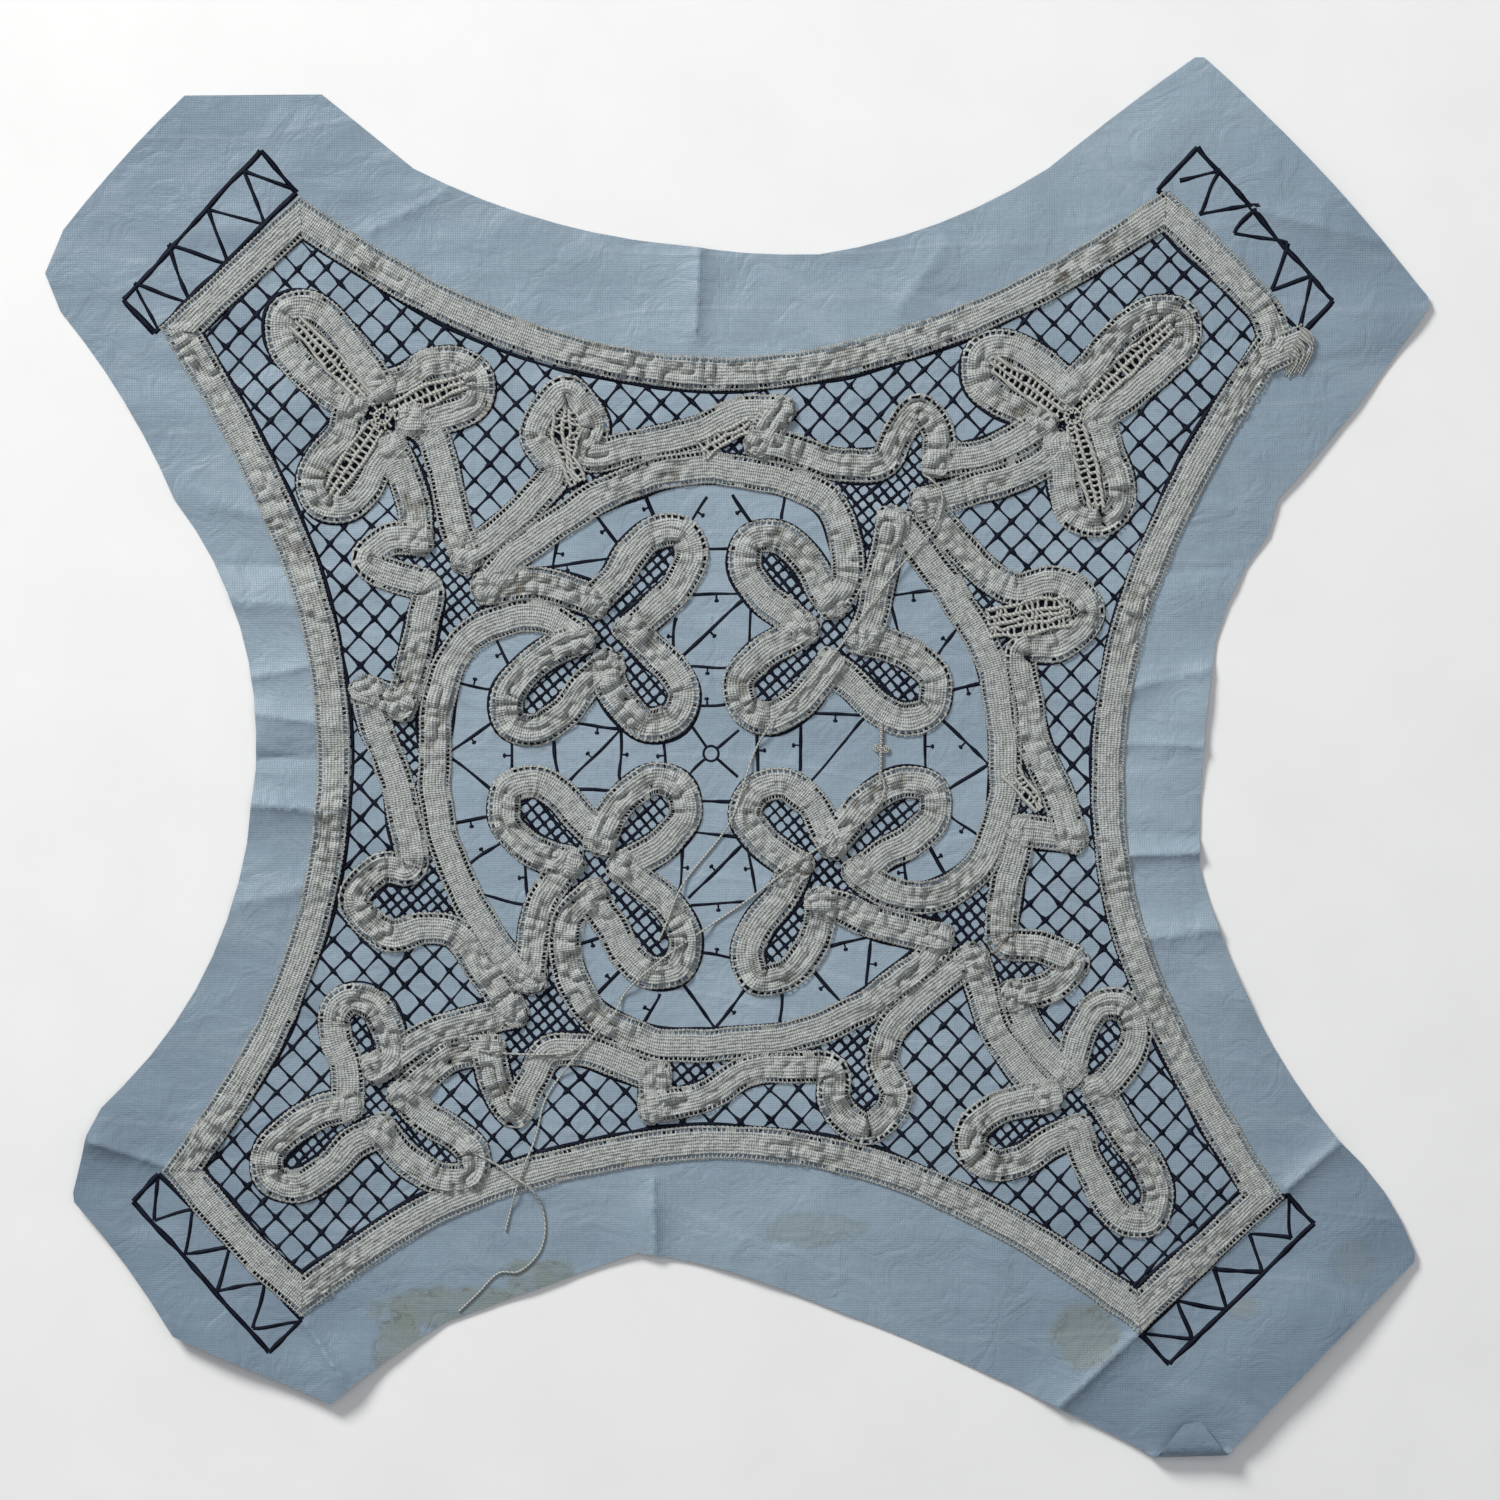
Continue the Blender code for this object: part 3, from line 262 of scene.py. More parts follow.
RING_EXIT = (
    ("leaves the heart", (-42.0, 46.3), (-38.5, 45.0), (-37.0, 45.0), (-37.5, 46.0)),
    ("way out", (-52.0, 48.4), (-50.5, 48.2), (-46.5, 49.5), (-47.0, 51.2)),
)

# The scroll along one side, from one foot to the corner flower, and the way back to the next foot.
SCROLL_SIDE = (
    # mark                 north           east            south           west
    ("foot fold", (-72.1, 56.2), (-72.1, 61.0), (-74.6, 60.4), (-75.5, 58.8)),
    ("rise", (-65.2, 61.4), (-61.4, 69.7), (-66.0, 66.5), (-64.0, 66.5)),
    ("rise end", (-54.5, 71.0), (-51.3, 79.0), (-52.0, 79.5), (-52.5, 75.2)),
    ("loop in", (-46.4, 81.6), (-46.8, 87.0), (-48.3, 88.5), (-51.3, 84.5)),
    ("loop back", (-51.7, 92.0), (-49.3, 98.8), (-53.0, 100.0), (-53.0, 95.0)),
    ("loop crown", (-43.2, 103.9), (-40.5, 108.7), (-44.0, 108.8), (-43.3, 104.2)),
    ("loop front", (-34.8, 94.5), (-31.3, 99.6), (-34.6, 101.5), (-34.2, 97.0)),
    ("loop out", (-37.8, 86.3), (-29.3, 88.9), (-33.5, 92.5), (-33.8, 88.6)),
    ("long run", (-21.1, 88.7), (-15.0, 90.3), (-22.0, 91.2), (-20.0, 89.8)),
    ("middle run", (-4.0, 93.2), (-1.5, 92.6), (-10.2, 92.6), (-5.0, 93.2)),
    ("tip rise", (9.5, 98.6), (12.0, 99.2), (3.5, 99.8), (8.0, 98.6)),
    ("tip fold", (18.6, 98.5), (24.7, 103.3), (17.5, 103.0), (17.3, 101.1)),
    ("tuck fold", (13.2, 89.6), (23.0, 89.5), (17.3, 93.7), (13.6, 91.2)),
    ("second run", (24.7, 86.6), (32.0, 86.3), (26.0, 90.5), (24.0, 87.8)),
    ("low run", (38.0, 82.8), (43.0, 84.4), (39.0, 86.2), (37.0, 84.6)),
    ("arch in", (49.2, 84.2), (55.0, 83.6), (48.3, 87.0), (47.2, 83.2)),
    ("arch back", (53.6, 92.5), (57.0, 94.8), (53.3, 95.5), (50.7, 92.5)),
    ("arch crown", (59.0, 99.4), (61.0, 104.5), (57.9, 105.1), (55.8, 100.8)),
    ("arch front", (64.2, 93.0), (67.5, 97.8), (63.2, 96.5), (61.2, 94.0)),
    ("arch fold", (64.5, 84.0), (70.5, 87.1), (65.2, 86.5), (61.4, 86.0)),
    ("last run", (79.0, 86.3), (81.0, 90.9), (77.0, 88.9), (74.0, 87.6)),
)
SCROLL_EXIT = (
    ("leaves the heart", (-82.6, 91.9), (-83.0, 93.5), (-86.0, 87.5), (-86.5, 89.5)),
    ("way down", (-78.2, 81.7), (-78.2, 83.0), (-80.4, 77.8), (-81.5, 80.5)),
    ("before the foot", (-76.0, 69.5), (-75.2, 71.1), (-77.5, 68.5), (-78.0, 70.0)),
)
FOLD_MARKS = ("foot fold", "tip fold", "tuck fold", "arch fold")

# Every flower: its heart, with the fold that the tape makes beside it before the first petal, then its
# petals in the order that the tape is laid. A petal points from the heart along its bearing, its tip
# leans to the left, and the tape folds beside the heart after it.
FLOWERS = (
    # flower, quarter and heart: x, y, fold bearing, distance
    # each petal: bearing, reach, breadth, lean, fold bearing, distance
    ("ring", "north-west", (-32.4, 33.9, 192, 6.8),
     (225, 37.0, 16.5, -0.5, 279, 9.0), (310, 32.0, 17.5, 0.0, 10, 8.0), (53, 37.0, 16.5, -1.0, 103, 10.0)),
    ("ring", "north-east", (-34.1, 34.0, 180, 9.0),
     (220, 36.0, 16.0, 0.5, 258, 8.5), (311, 33.5, 18.0, -0.5, 356, 9.0), (51, 36.0, 17.5, 1.5, 82, 8.5)),
    ("ring", "south-east", (-32.8, 34.6, 178, 9.0),
     (222, 38.3, 16.5, -2.5, 260, 8.5), (308, 31.5, 18.0, 2.0, 351, 9.0), (55, 37.0, 15.5, 1.0, 78, 9.5)),
    ("ring", "south-west", (-33.4, 34.4, 172, 8.2),
     (221, 37.5, 18.0, -1.5, 268, 8.0), (314, 33.5, 17.5, 0.0, 350, 8.0), (48, 33.5, 17.0, 0.5, 80, 8.0)),
    ("scroll", "north-west", (-96.2, 97.1, 287, 9.5),
     (235, 31.0, 16.0, 0.5, 164, 9.5), (132, 41.8, 15.0, 0.5, 96, 8.5), (28, 29.5, 15.5, -3.0, 354, 8.5)),
    ("scroll", "north-east", (-97.1, 103.6, 284, 9.5),
     (235, 32.0, 16.0, 1.0, 188, 8.0), (135, 43.0, 15.5, -1.5, 88, 7.5), (17, 31.0, 16.0, -1.0, 336, 9.5)),
    ("scroll", "south-east", (-104.8, 101.3, 286, 8.5),
     (244, 31.0, 15.5, 0.0, 212, 7.5), (124, 40.5, 15.0, -2.0, 88, 8.5), (28, 33.5, 16.0, -1.5, 348, 8.5)),
    ("scroll", "south-west", (-100.1, 97.9, 275, 8.0),
     (221, 34.3, 14.5, 6.0, 187, 9.5), (128, 38.5, 15.5, -0.5, 105, 9.0), (13, 29.5, 15.5, 0.5, 0, 9.0)),
)
# A petal's side from its heart to its tip, as shares of its reach and of half its breadth.
PETAL_SIDE = ((0.38, 0.86), (0.65, 1.0), (0.88, 0.80))

# Where the border tape's cut end laps over its start, at the north-east corner.
LAP_CORNERS = (
    # corner             x      y
    ("inner start", 149.8, 117.2),
    ("outer start", 154.2, 111.0),
    ("end corner", 164.4, 122.9),
    ("lower selvedge", 159.8, 114.6),
)
LAP = {name: np.array([x, y]) for name, x, y in LAP_CORNERS}

# The threads frayed out of that end: where they turn down and where they stop, first and last.
FRAYED_THREADS = 19
FRAY_ELBOWS = np.array(((167.2, 119.6), (160.9, 113.0)))
FRAY_TIPS = np.array(((163.4, 111.2), (158.4, 109.0)))

# Loose ends of thread. Each point is where the thread passes, and what it is lifted by there, if at all.
THREADS = (
    (
        "long_thread",
        ((53.9, 80.7), (58.9, 75.5), (57.7, 67.1), (52.2, 59.9), (45.0, 51.8), (28.1, 29.1),
         (6.7, 4.2), (-2.3, -19.9), (-16.2, -38.4), (-20.9, -49.7), (-22.9, -54.2)),
    ),
    (
        "bar_thread",
        ((41.6, -6.2), (42.3, -11.5), (37.0, -19.0), (20.6, -29.1), (3.2, -42.2), (-22.0, -59.6),
         (-32.5, -69.2), (-36.0, -75.8), (-40.9, -80.8), (-48.1, -89.2), (-55.7, -100.2),
         (-58.6, -111.2), (-62.9, -122.2), (-67.3, -138.2)),
    ),
    (
        "short_thread",
        ((-76.3, -85.7), (-65.8, -86.9), (-55.7, -87.1), (-48.8, -86.4), (-45.2, -84.0)),
    ),
    (
        "end_thread",
        ((-76.9, -115.3), (-69.6, -119.0, 0.6), (-64.7, -122.5, 1.4), (-59.7, -126.0, 0.6),
         (-56.0, -134.4), (-57.1, -143.7), (-63.5, -150.1), (-69.0, -150.4), (-75.4, -156.5),
         (-80.9, -161.7)),
    ),
)

# Half of the tape's section, from its selvedge to its middle: how far out each column lies, and its
# rise.
TAPE_COLUMNS = (
    # column           out   rise
    ("edge", 4.80, -0.26),
    ("cord crest", 4.54, 0.38),
    ("cord foot", 4.20, 0.14),
    ("ladder foot", 3.24, 0.20),
    ("first rib", 2.88, 0.52),
    ("first furrow", 2.40, 0.30),
    ("second rib", 1.92, 0.60),
    ("second furrow", 1.44, 0.37),
    ("third rib", 0.96, 0.64),
    ("third furrow", 0.48, 0.40),
)
MIDDLE_RISE = 0.65

# Sharp folds that were pressed into the sheet: from one end to the other, and their height and width.
SHARP_FOLDS = (
    # fold                x       y       x      y     height  width
    ("west crease", -143.0, -1.6, -116.0, -0.8, -0.9, 1.8),
    ("west ridge", -143.0, -14.5, -116.0, -17.0, 1.7, 3.0),
    ("west light fold", -143.0, 12.0, -116.0, 8.0, 0.8, 2.0),
    ("west bright fold", -146.0, 21.0, -120.0, 26.0, 0.7, 2.5),
    ("west upper crease", -149.0, 55.5, -122.0, 53.5, -0.7, 2.0),
    ("west upper ridge", -147.0, 44.0, -120.0, 42.5, 0.9, 3.4),
    ("west high ridge", -150.0, 72.0, -128.0, 66.0, 0.7, 4.0),
    ("west low ridge", -146.0, -44.0, -121.0, -38.0, 0.9, 4.2),
    ("east high crease", 117.0, 52.0, 142.0, 54.0, -0.8, 2.0),
    ("east ridge", 113.0, 19.0, 136.0, 24.0, 1.0, 2.8),
    ("east crease", 113.0, -22.5, 137.0, -24.0, -1.1, 1.8),
    ("east low ridge", 113.0, -29.5, 139.0, -28.5, 1.4, 1.9),
    ("east broad ridge", 116.0, -54.0, 145.0, -50.0, 1.2, 3.6),
    ("east upper fold", 112.0, 3.0, 136.0, 2.0, 0.8, 2.2),
    ("north fold", -12.2, 122.0, -11.0, 152.0, 1.0, 2.0),
    ("north soft fold", 46.0, 128.0, 60.0, 147.0, 0.5, 3.4),
    ("north-west soft fold", -107.0, 151.0, -84.0, 163.0, 0.7, 3.0),
    ("south fold", -24.0, -146.0, -24.5, -124.0, 1.0, 2.0),
    ("south soft fold", 62.0, -132.0, 78.0, -150.0, 0.6, 3.4),
    ("south-west corner fold", -125.3, -164.9, -114.6, -180.5, 1.1, 2.0),
    ("west corner fold", -188.2, -111.8, -162.0, -121.0, 1.2, 2.0),
    ("south-east corner fold", 118.0, -166.0, 93.1, -189.0, 1.2, 2.0),
    ("east corner fold", 174.0, -112.7, 159.2, -126.0, 1.2, 2.0),
    ("north-east fold", 149.0, 158.0, 186.0, 148.0, 0.6, 2.4),
    ("north-west fold", -154.0, 189.5, -149.0, 181.0, 0.5, 2.4),
)

# The cockles all over the sheet, and the waves of its east and west margins.
COCKLES = (
    # amount, size, shift
    (0.62, 26, 0),
    (0.38, 11, 1),
    (0.12, 4.8, 2),
)
WAVES_FROM = 104
WAVES_RAMP = 14

# Stains on the sheet: each is an uneven blot.
STAINS = (
    # stain              x       y     half width  half height  strength
    ("old glue", -78.0, -161.0, 30.0, 7.5, 0.8),
    ("glue end", -58.0, -151.0, 13.0, 5.5, 0.8),
    ("glue foot", -98.0, -172.0, 9.0, 12.0, 0.8),
    ("faint smudge", 22.0, -138.0, 17.0, 6.0, 0.35),
    ("damp mark", 101.0, -169.5, 12.0, 11.0, 0.70),
    ("small mark", 146.5, -161.0, 5.0, 4.0, 0.55),
    ("faint mark", 178.0, -148.0, 8.0, 7.0, 0.25),
)

# The boxes drawn beside the border's short sides, ready for a zigzag of bars: the box, then the zigzag's
# points on its outer and inner side, in the order that the pen takes them.
BOXES = (
    (
        "north-west",
        ((-138.3, 174.7), (-127.9, 162.5), (-169.1, 121.9), (-178.1, 131.5)),
        ((-128.6, 163.6), (-143.3, 168.9), (-137.2, 153.3), (-153.4, 157.6), (-147.9, 142.0),
         (-165.0, 147.5), (-158.9, 130.6), (-174.9, 136.2), (-168.0, 122.5)),
    ),
    (
        "north-east",
        ((133.1, 175.6), (172.3, 131.2), (163.6, 121.8), (121.6, 163.2)),
        ((128.0, 166.0), (139.8, 168.9), (133.7, 156.2), (150.8, 158.8), (143.8, 150.7),
         (159.2, 147.8), (154.6, 134.4), (166.2, 138.5), (163.0, 123.7)),
    ),
    (
        "south-east",
        ((159.2, -127.5), (167.0, -136.2), (125.0, -176.8), (116.3, -168.1)),
        ((159.5, -128.0), (160.4, -140.5), (148.2, -139.3), (151.7, -150.1), (137.8, -149.2),
         (141.5, -160.8), (127.3, -158.5), (131.4, -169.5), (117.0, -168.0)),
    ),
    (
        "south-west",
        ((-167.9, -121.9), (-175.2, -129.8), (-135.7, -173.3), (-126.2, -164.0)),
        ((-168.0, -122.5), (-169.1, -135.3), (-157.8, -132.1), (-160.1, -144.9), (-147.3, -143.1),
         (-150.8, -155.6), (-137.2, -153.3), (-140.4, -166.3), (-126.5, -164.5)),
    ),
)

# The pen's grids: which way each family of lines runs, how far apart its lines are, and their width.
GRIDS = (
    # grid          bearings     apart  width  wobble  step
    ("open_ground", (47.0, -46.0), 6.1, 0.66, 0.6, 1.4),
    ("close_ground", (42.0, -50.0), 2.8, 0.56, 0.35, 1.2),
    # The worked ground's dense, wide lines are ink, and also painted shade in the holes of the nets over
    # them.
    ("worked_ground_and_shade", (15.0, -74.0), 1.9, 0.8, 0.35, 1.2),
)

# Bars drawn across the ring, most of them with a small picot: from one end to the other.
DRAWN_BARS = (
    # x, y, and x, y of the other end
    (-26.4, 73.5, -24.7, 69.5), (-9.9, 72.9, -13.6, 67.1), (-0.6, 73.5, 3.2, 68.0),
    (13.3, 73.5, 12.8, 69.7), (-41.2, 69.5, -34.8, 61.0), (-51.9, 62.5, -53.4, 53.5),
    (-60.6, 53.5, -38.6, 56.4), (-11.0, 59.3, -0.6, 59.6), (-11.3, 46.0, -1.2, 46.3),
    (0.0, 43.1, -16.2, 27.7), (-18.0, 37.6, -18.6, 30.0), (3.8, 41.0, 3.5, 32.3),
    (-13.9, 25.1, -3.8, 25.1), (-13.1, 13.5, -4.6, 14.4), (-65.8, 4.5, -65.8, -5.7),
    (-53.4, 4.5, -51.6, -6.8), (-35.4, 5.7, -49.0, -8.3), (-33.9, 5.1, -34.2, -5.7),
    (-21.8, 3.3, -20.9, -4.5), (-46.4, -10.6, -37.1, -10.6), (-47.3, 8.3, -34.2, 7.4),
    (5.8, 5.1, 5.8, -3.3), (18.0, 8.0, 18.0, -3.3), (35.4, 8.8, 22.0, -6.8), (22.0, 11.5, 34.5, 11.2),
    (54.5, 7.4, 54.5, -3.3), (59.2, 9.7, 72.5, -3.3), (72.5, -3.3, 61.8, -10.3),
    (63.2, 18.4, 69.6, 19.9), (58.6, 29.1, 63.2, 35.5), (44.4, 45.7, 57.1, 46.8),
    (44.4, 43.9, 46.7, 34.7), (-70.2, 32.9, -66.1, 25.4), (-79.8, 20.4, -73.4, 19.0),
    (-83.5, 0.7, -71.6, 8.8), (-83.8, -1.3, -72.8, -9.7), (-80.6, -19.9, -74.5, -18.7),
    (-77.1, -32.0, -69.6, -26.5), (-62.4, -29.4, -60.6, -42.2), (-74.5, -41.0, -61.8, -43.6),
    (-44.7, -54.7, -40.6, -53.2), (-40.0, -69.2, -33.3, -62.2), (-23.5, -71.2, -27.3, -77.9),
    (-15.9, -66.8, -6.7, -79.3), (-6.7, -79.3, 1.5, -68.6), (-11.0, -57.9, -1.7, -59.3),
    (-11.9, -43.9, 0.3, -43.1), (-10.7, -23.1, -0.6, -24.5), (0.3, -27.4, -13.1, -40.7),
    (-16.2, -28.3, -16.8, -37.8), (3.2, -27.7, 4.9, -38.7), (-8.4, -13.8, -2.0, -13.8),
    (21.5, -62.2, 29.3, -71.8), (38.6, -54.1, 37.4, -67.7), (25.5, -56.4, 36.0, -53.5),
    (12.5, -70.0, 12.2, -76.4), (48.1, -31.5, 48.7, -37.3), (53.9, -25.4, 60.6, -35.8),
    (62.6, -18.7, 69.0, -23.6),
)
DRAWN_RING = (-7.8, 0.0, 2.2)
DRAWN_SPOKES = ((-13.6, 8.3), (0.3, 6.8), (0.0, -6.8), (-13.9, -5.9))

# Needle fillings along an open slit: the filling, its side, then points down its middle, each with the
# slit's width.
SLIT_FILLINGS = (
    # filling           side     points: x, y and width
    (
        "north_loop", "north",
        ((-39.5, 78.0, 3.4), (-42.3, 84.5, 2.6), (-43.2, 91.5, 6.8), (-43.0, 99.0, 4.6)),
    ),
    (
        "east_loop", "east",
        ((-37.0, 79.0, 6.6), (-38.2, 88.0, 7.8), (-40.2, 98.0, 8.2), (-40.6, 103.0, 6.0)),
    ),
    ("north_triangle", "north", ((-4.0, 87.4, 3.8), (10.5, 95.0, 1.4))),
    ("east_triangle", "east", ((5.5, 86.0, 4.4), (17.0, 94.0, 1.4))),
)
FLOWER_FILLINGS = ("north-west", "north-east")

# The worked bar, between two petals of the ring's flowers, with a picot on each side.
BAR_LINE = ((41.6, 9.0), (41.2, -8.0))
PICOTS = ((40.2, 1.6), (42.8, 1.2))

# Colours and finishes
SHEET_LIGHT = (0.302, 0.386, 0.457)
SHEET_DARK = (0.218, 0.286, 0.354)
# Painted shade, darkening the sheet's corners.
SHEET_CORNER_SHADE = (0.145, 0.203, 0.268)
SHEET_CREASE = (0.62, 0.68, 0.73)
STAIN = (0.19, 0.225, 0.205)
STAIN_RIM = (0.11, 0.12, 0.10)
# The tape's lit, middle and shaded tones: its finish paints light on the raised weave and shade in its
# furrows.
TAPE_LIT = (0.53, 0.562, 0.556)
TAPE_MIDDLE = (0.352, 0.37, 0.354)
TAPE_SHADED = (0.125, 0.116, 0.098)
# Brown soil and painted shade, for the hollows of the tape's crumples.
TAPE_SOIL_AND_SHADE = (0.15, 0.115, 0.08)
# The thread's lit and shaded tones, for painted light and shade along its twist.
THREAD_LIT = (0.49, 0.505, 0.48)
THREAD_SHADED = (0.22, 0.215, 0.19)
INK_DARK = (0.003, 0.0045, 0.011)
INK_THIN = (0.012, 0.016, 0.03)

# The pitch of each finish's threads. A wave texture of this scale makes one band to the unit.
WAVE_SCALE = 0.314
CLOTH_THREAD = 0.5
TAPE_RIB = 0.96
TAPE_PICK = 0.65
THREAD_TWIST = 0.7

# Camera, light and table, in metres but for the view
VIEW_CENTRE = (3.5, 1.0)
VIEW_SIDE = 435.0
LENS = 100.0
FILM = 36.0
LIGHTS = (
    # light     place               size power  colour
    ("window", (-1.25, 1.6, 1.35), 0.8, 62.0, (1.0, 0.985, 0.96)),
    ("ceiling", (0.2, 0.1, 1.7), 1.6, 7.5, (0.94, 0.97, 1.0)),
)
ROOM_COLOUR = (0.95, 0.97, 1.0, 1)
ROOM_LIGHT = 0.23
TABLE_SIDE = 6.0
TABLE_DROP = 0.0002
TABLE_TONES = (0.3, (0.83, 0.83, 0.83)), (0.7, (0.86, 0.86, 0.86))


# Plane geometry, as the lace is laid out


def toward(bearing, distance):
    """A step of that length, with its bearing in degrees from east, turning north."""
    angle = math.radians(bearing)
    return np.array([math.cos(angle), math.sin(angle)]) * distance


def heading(start, end):
    """The way from start to end, one unit long."""
    way = np.asarray(end, float) - start
    return way / np.linalg.norm(way)


def left_of(way):
    """The way that points to the left of each way."""
    return np.stack([-way[..., 1], way[..., 0]], axis=-1)


def ways_along(path):
    """The way that a path runs at each of its points."""
    way = np.gradient(path, axis=0)
    return way / np.linalg.norm(way, axis=1)[:, None]


def placed(point, quarter):
    """A point of the quarter that faces north-west, carried round to its own quarter of the lace."""
    x, y = point
    for _ in range(quarter):
        x, y = y, -x
    return np.array([x + LACE_CENTRE[0], y + LACE_CENTRE[1]])


def smooth(marks):
    """A smooth curve through the marks, in fine steps."""
    marks = np.array(marks, float)
    if len(marks) == 2:
        share = np.linspace(0, 1, max(2, int(np.hypot(*(marks[1] - marks[0])) / FINE_STEP)))[:, None]
        return marks[0] + (marks[1] - marks[0]) * share
    knots = np.concatenate([[0], np.cumsum(np.sqrt(np.linalg.norm(np.diff(marks, axis=0), axis=1)))])
    slopes = np.diff(marks, axis=0) / np.diff(knots)[:, None]
    ways = np.empty_like(marks)
    for i in range(1, len(marks) - 1):
        before, after = knots[i] - knots[i - 1], knots[i + 1] - knots[i]
        ways[i] = (slopes[i - 1] * after + slopes[i] * before) / (before + after)
    ways[0] = 1.5 * slopes[0] - 0.5 * ways[1]
    ways[-1] = 1.5 * slopes[-1] - 0.5 * ways[-2]
    pieces = []
    for i, span in enumerate(np.diff(knots)):
        count = max(2, int(np.linalg.norm(marks[i + 1] - marks[i]) / FINE_STEP))
        t = np.linspace(0, 1, count, endpoint=False)[:, None]
        pieces.append(
            (2 * t**3 - 3 * t**2 + 1) * marks[i]
            + (t**3 - 2 * t**2 + t) * span * ways[i]
            + (3 * t**2 - 2 * t**3) * marks[i + 1]
            + (t**3 - t**2) * span * ways[i + 1]
        )
    return np.concatenate([*pieces, marks[-1:]])


def travelled(line):
    """The distance along the line at each of its points."""
    return np.concatenate([[0], np.cumsum(np.linalg.norm(np.diff(line, axis=0), axis=1))])


def taken_at(line, along):
    """The line's points at those distances along it."""
    there = travelled(line)
    return np.column_stack([np.interp(along, there, line[:, k]) for k in (0, 1)])


def evenly(line, step):
    """The line again, in even steps of about that length, with the distance along it."""
    length = travelled(line)[-1]
    along = np.linspace(0, length, max(3, round(length / step) + 1))
    return taken_at(line, along), along


def in_ladder_steps(line):
    """The line again, in steps of a gap and a bar of the tape's ladder by turns, and how far each is."""
    length = travelled(line)[-1]
    pairs = max(2, round(length / (LADDER_GAP + LADDER_BAR)))
    along = np.concatenate([[0], np.cumsum(np.tile([LADDER_GAP, LADDER_BAR], pairs))])
    along *= length / along[-1]
    return taken_at(line, along), along


def inside(points, outlines):
    """Which of the points lie inside the outlines, where one within another is a hole."""
    found = np.zeros(len(points), bool)
    for outline in outlines:
        for (ax, ay), (bx, by) in zip(outline, np.roll(outline, -1, axis=0)):
            if ay == by:
                continue
            crosses = (ay > points[:, 1]) != (by > points[:, 1])
            found ^= crosses & (points[:, 0] < (bx - ax) * (points[:, 1] - ay) / (by - ay) + ax)
    return found


def off_stretch(points, start, end):
    """How far each point is from the straight stretch between start and end."""
    way = end - start
    share = np.clip((points - start) @ way / (way @ way), 0, 1)
    return np.linalg.norm(points - start - share[:, None] * way, axis=1)


def distance_to(points, outline):
    """How far each point is from the outline."""
    least = np.full(len(points), 1e9)
    for start, end in zip(outline, np.roll(outline, -1, axis=0)):
        least = np.minimum(least, off_stretch(points, start, end))
    return least


def blurred(values, reach):
    """The values along a line, each averaged with its neighbours on either side."""
    weights = np.exp(-((np.arange(-2 * reach, 2 * reach + 1) / reach) ** 2))
    padded = np.pad(values, 2 * reach, mode="edge")
    return np.convolve(padded, weights / weights.sum(), mode="valid")


LATTICE_SIDE = 64
LATTICE = np.random.default_rng(7).random((LATTICE_SIDE, LATTICE_SIDE)) * 2 - 1


def rough(x, y, size, shift=0.0):
    """Smooth unevenness from -1 to 1, in lumps of about that size."""
    u, v = np.asarray(x) / size + shift * 7.3, np.asarray(y) / size + shift * 3.1
    i, j = np.floor(u).astype(int), np.floor(v).astype(int)
    u, v = u - i, v - j
    u, v = u * u * (3 - 2 * u), v * v * (3 - 2 * v)

    def row(j):
        left, right = LATTICE[i % LATTICE_SIDE, j], LATTICE[(i + 1) % LATTICE_SIDE, j]
        return left * (1 - u) + right * u

    return row(j % LATTICE_SIDE) * (1 - v) + row((j + 1) % LATTICE_SIDE) * v


def stray(what, run, across):
    """How far one thing about a tape strays, at each place along and across it."""
    amount, size, spread, shift = TAPE_STRAY[what]
    return amount * rough(run, spread * across, size, shift)


# The lines that the tapes and the sheet's edge follow


def petal_marks(heart, bearing, reach, breadth, lean, first_side):
    """The marks round one petal, up one side of it and down the other."""
    along, across = toward(bearing, 1.0), toward(bearing + 90, 1.0)
    profile = [(u, v * first_side) for u, v in PETAL_SIDE]
    profile += [(1.0, 0.0)] + [(u, -v) for u, v in reversed(profile)]
    return [
        heart + along * (u * reach) + across * (v * breadth / 2 + lean * u * u) for u, v in profile
    ]


def flower_row(kind, quarter):
    """A flower's heart, and its petals."""
    return next(row[2:] for row in FLOWERS if row[:2] == (kind, QUARTERS[quarter]))


def flower_marks(kind, quarter, first_side):
    """(mark, is a fold, its petal or None) round one flower, from its first fold to its last."""
    (x, y, bearing, distance), *petals = flower_row(kind, quarter)
    heart = np.array([x, y])
    marks = [(heart + toward(bearing, distance), True, None)]
    for number, (*petal, fold_bearing, fold_distance) in enumerate(petals):
        marks += [(mark, False, number) for mark in petal_marks(heart, *petal, first_side)]
        marks.append((heart + toward(fold_bearing, fold_distance), True, None))
    return marks


def row_marks(rows, quarter):
    return [(row[1 + quarter], row[0] in FOLD_MARKS, row[0]) for row in rows]


def in_place(marks, quarter):
    """A quarter's marks where they lie on the lace: (point, is a fold, quarter, label)."""
    return [(placed(mark, quarter), fold, quarter, label) for mark, fold, label in marks]


def ring_marks():
    """The ring tape's marks in the order that it is laid."""
    marks = []
    for quarter in range(4):
        local = row_marks(RING_ARC, quarter) + flower_marks("ring", quarter, -1)
        marks += in_place(local + row_marks(RING_EXIT, quarter), quarter)
    return marks


def scroll_marks():
    """The scroll tape's marks, from the foot at the north-west all the way round."""
    marks = []
    for quarter in range(4):
        corner = (quarter + 1) % 4
        marks += in_place(row_marks(SCROLL_SIDE, quarter), quarter)
        marks += in_place(flower_marks("scroll", corner, 1) + row_marks(SCROLL_EXIT, corner), corner)
    return marks


def runs_of(marks):
    """The closed route cut at its folds: the smooth line of each run, from one fold to the next."""
    folds = [i for i, mark in enumerate(marks) if mark[1]]
    around = [mark[0] for mark in marks + marks]
    ends = [*folds[1:], folds[0] + len(marks)]
    return [smooth(around[start : end + 1]) for start, end in zip(folds, ends)]


def route_outline(marks):
    """The closed route as one outline."""
    return np.concatenate([run[:-1:3] for run in runs_of(marks)])


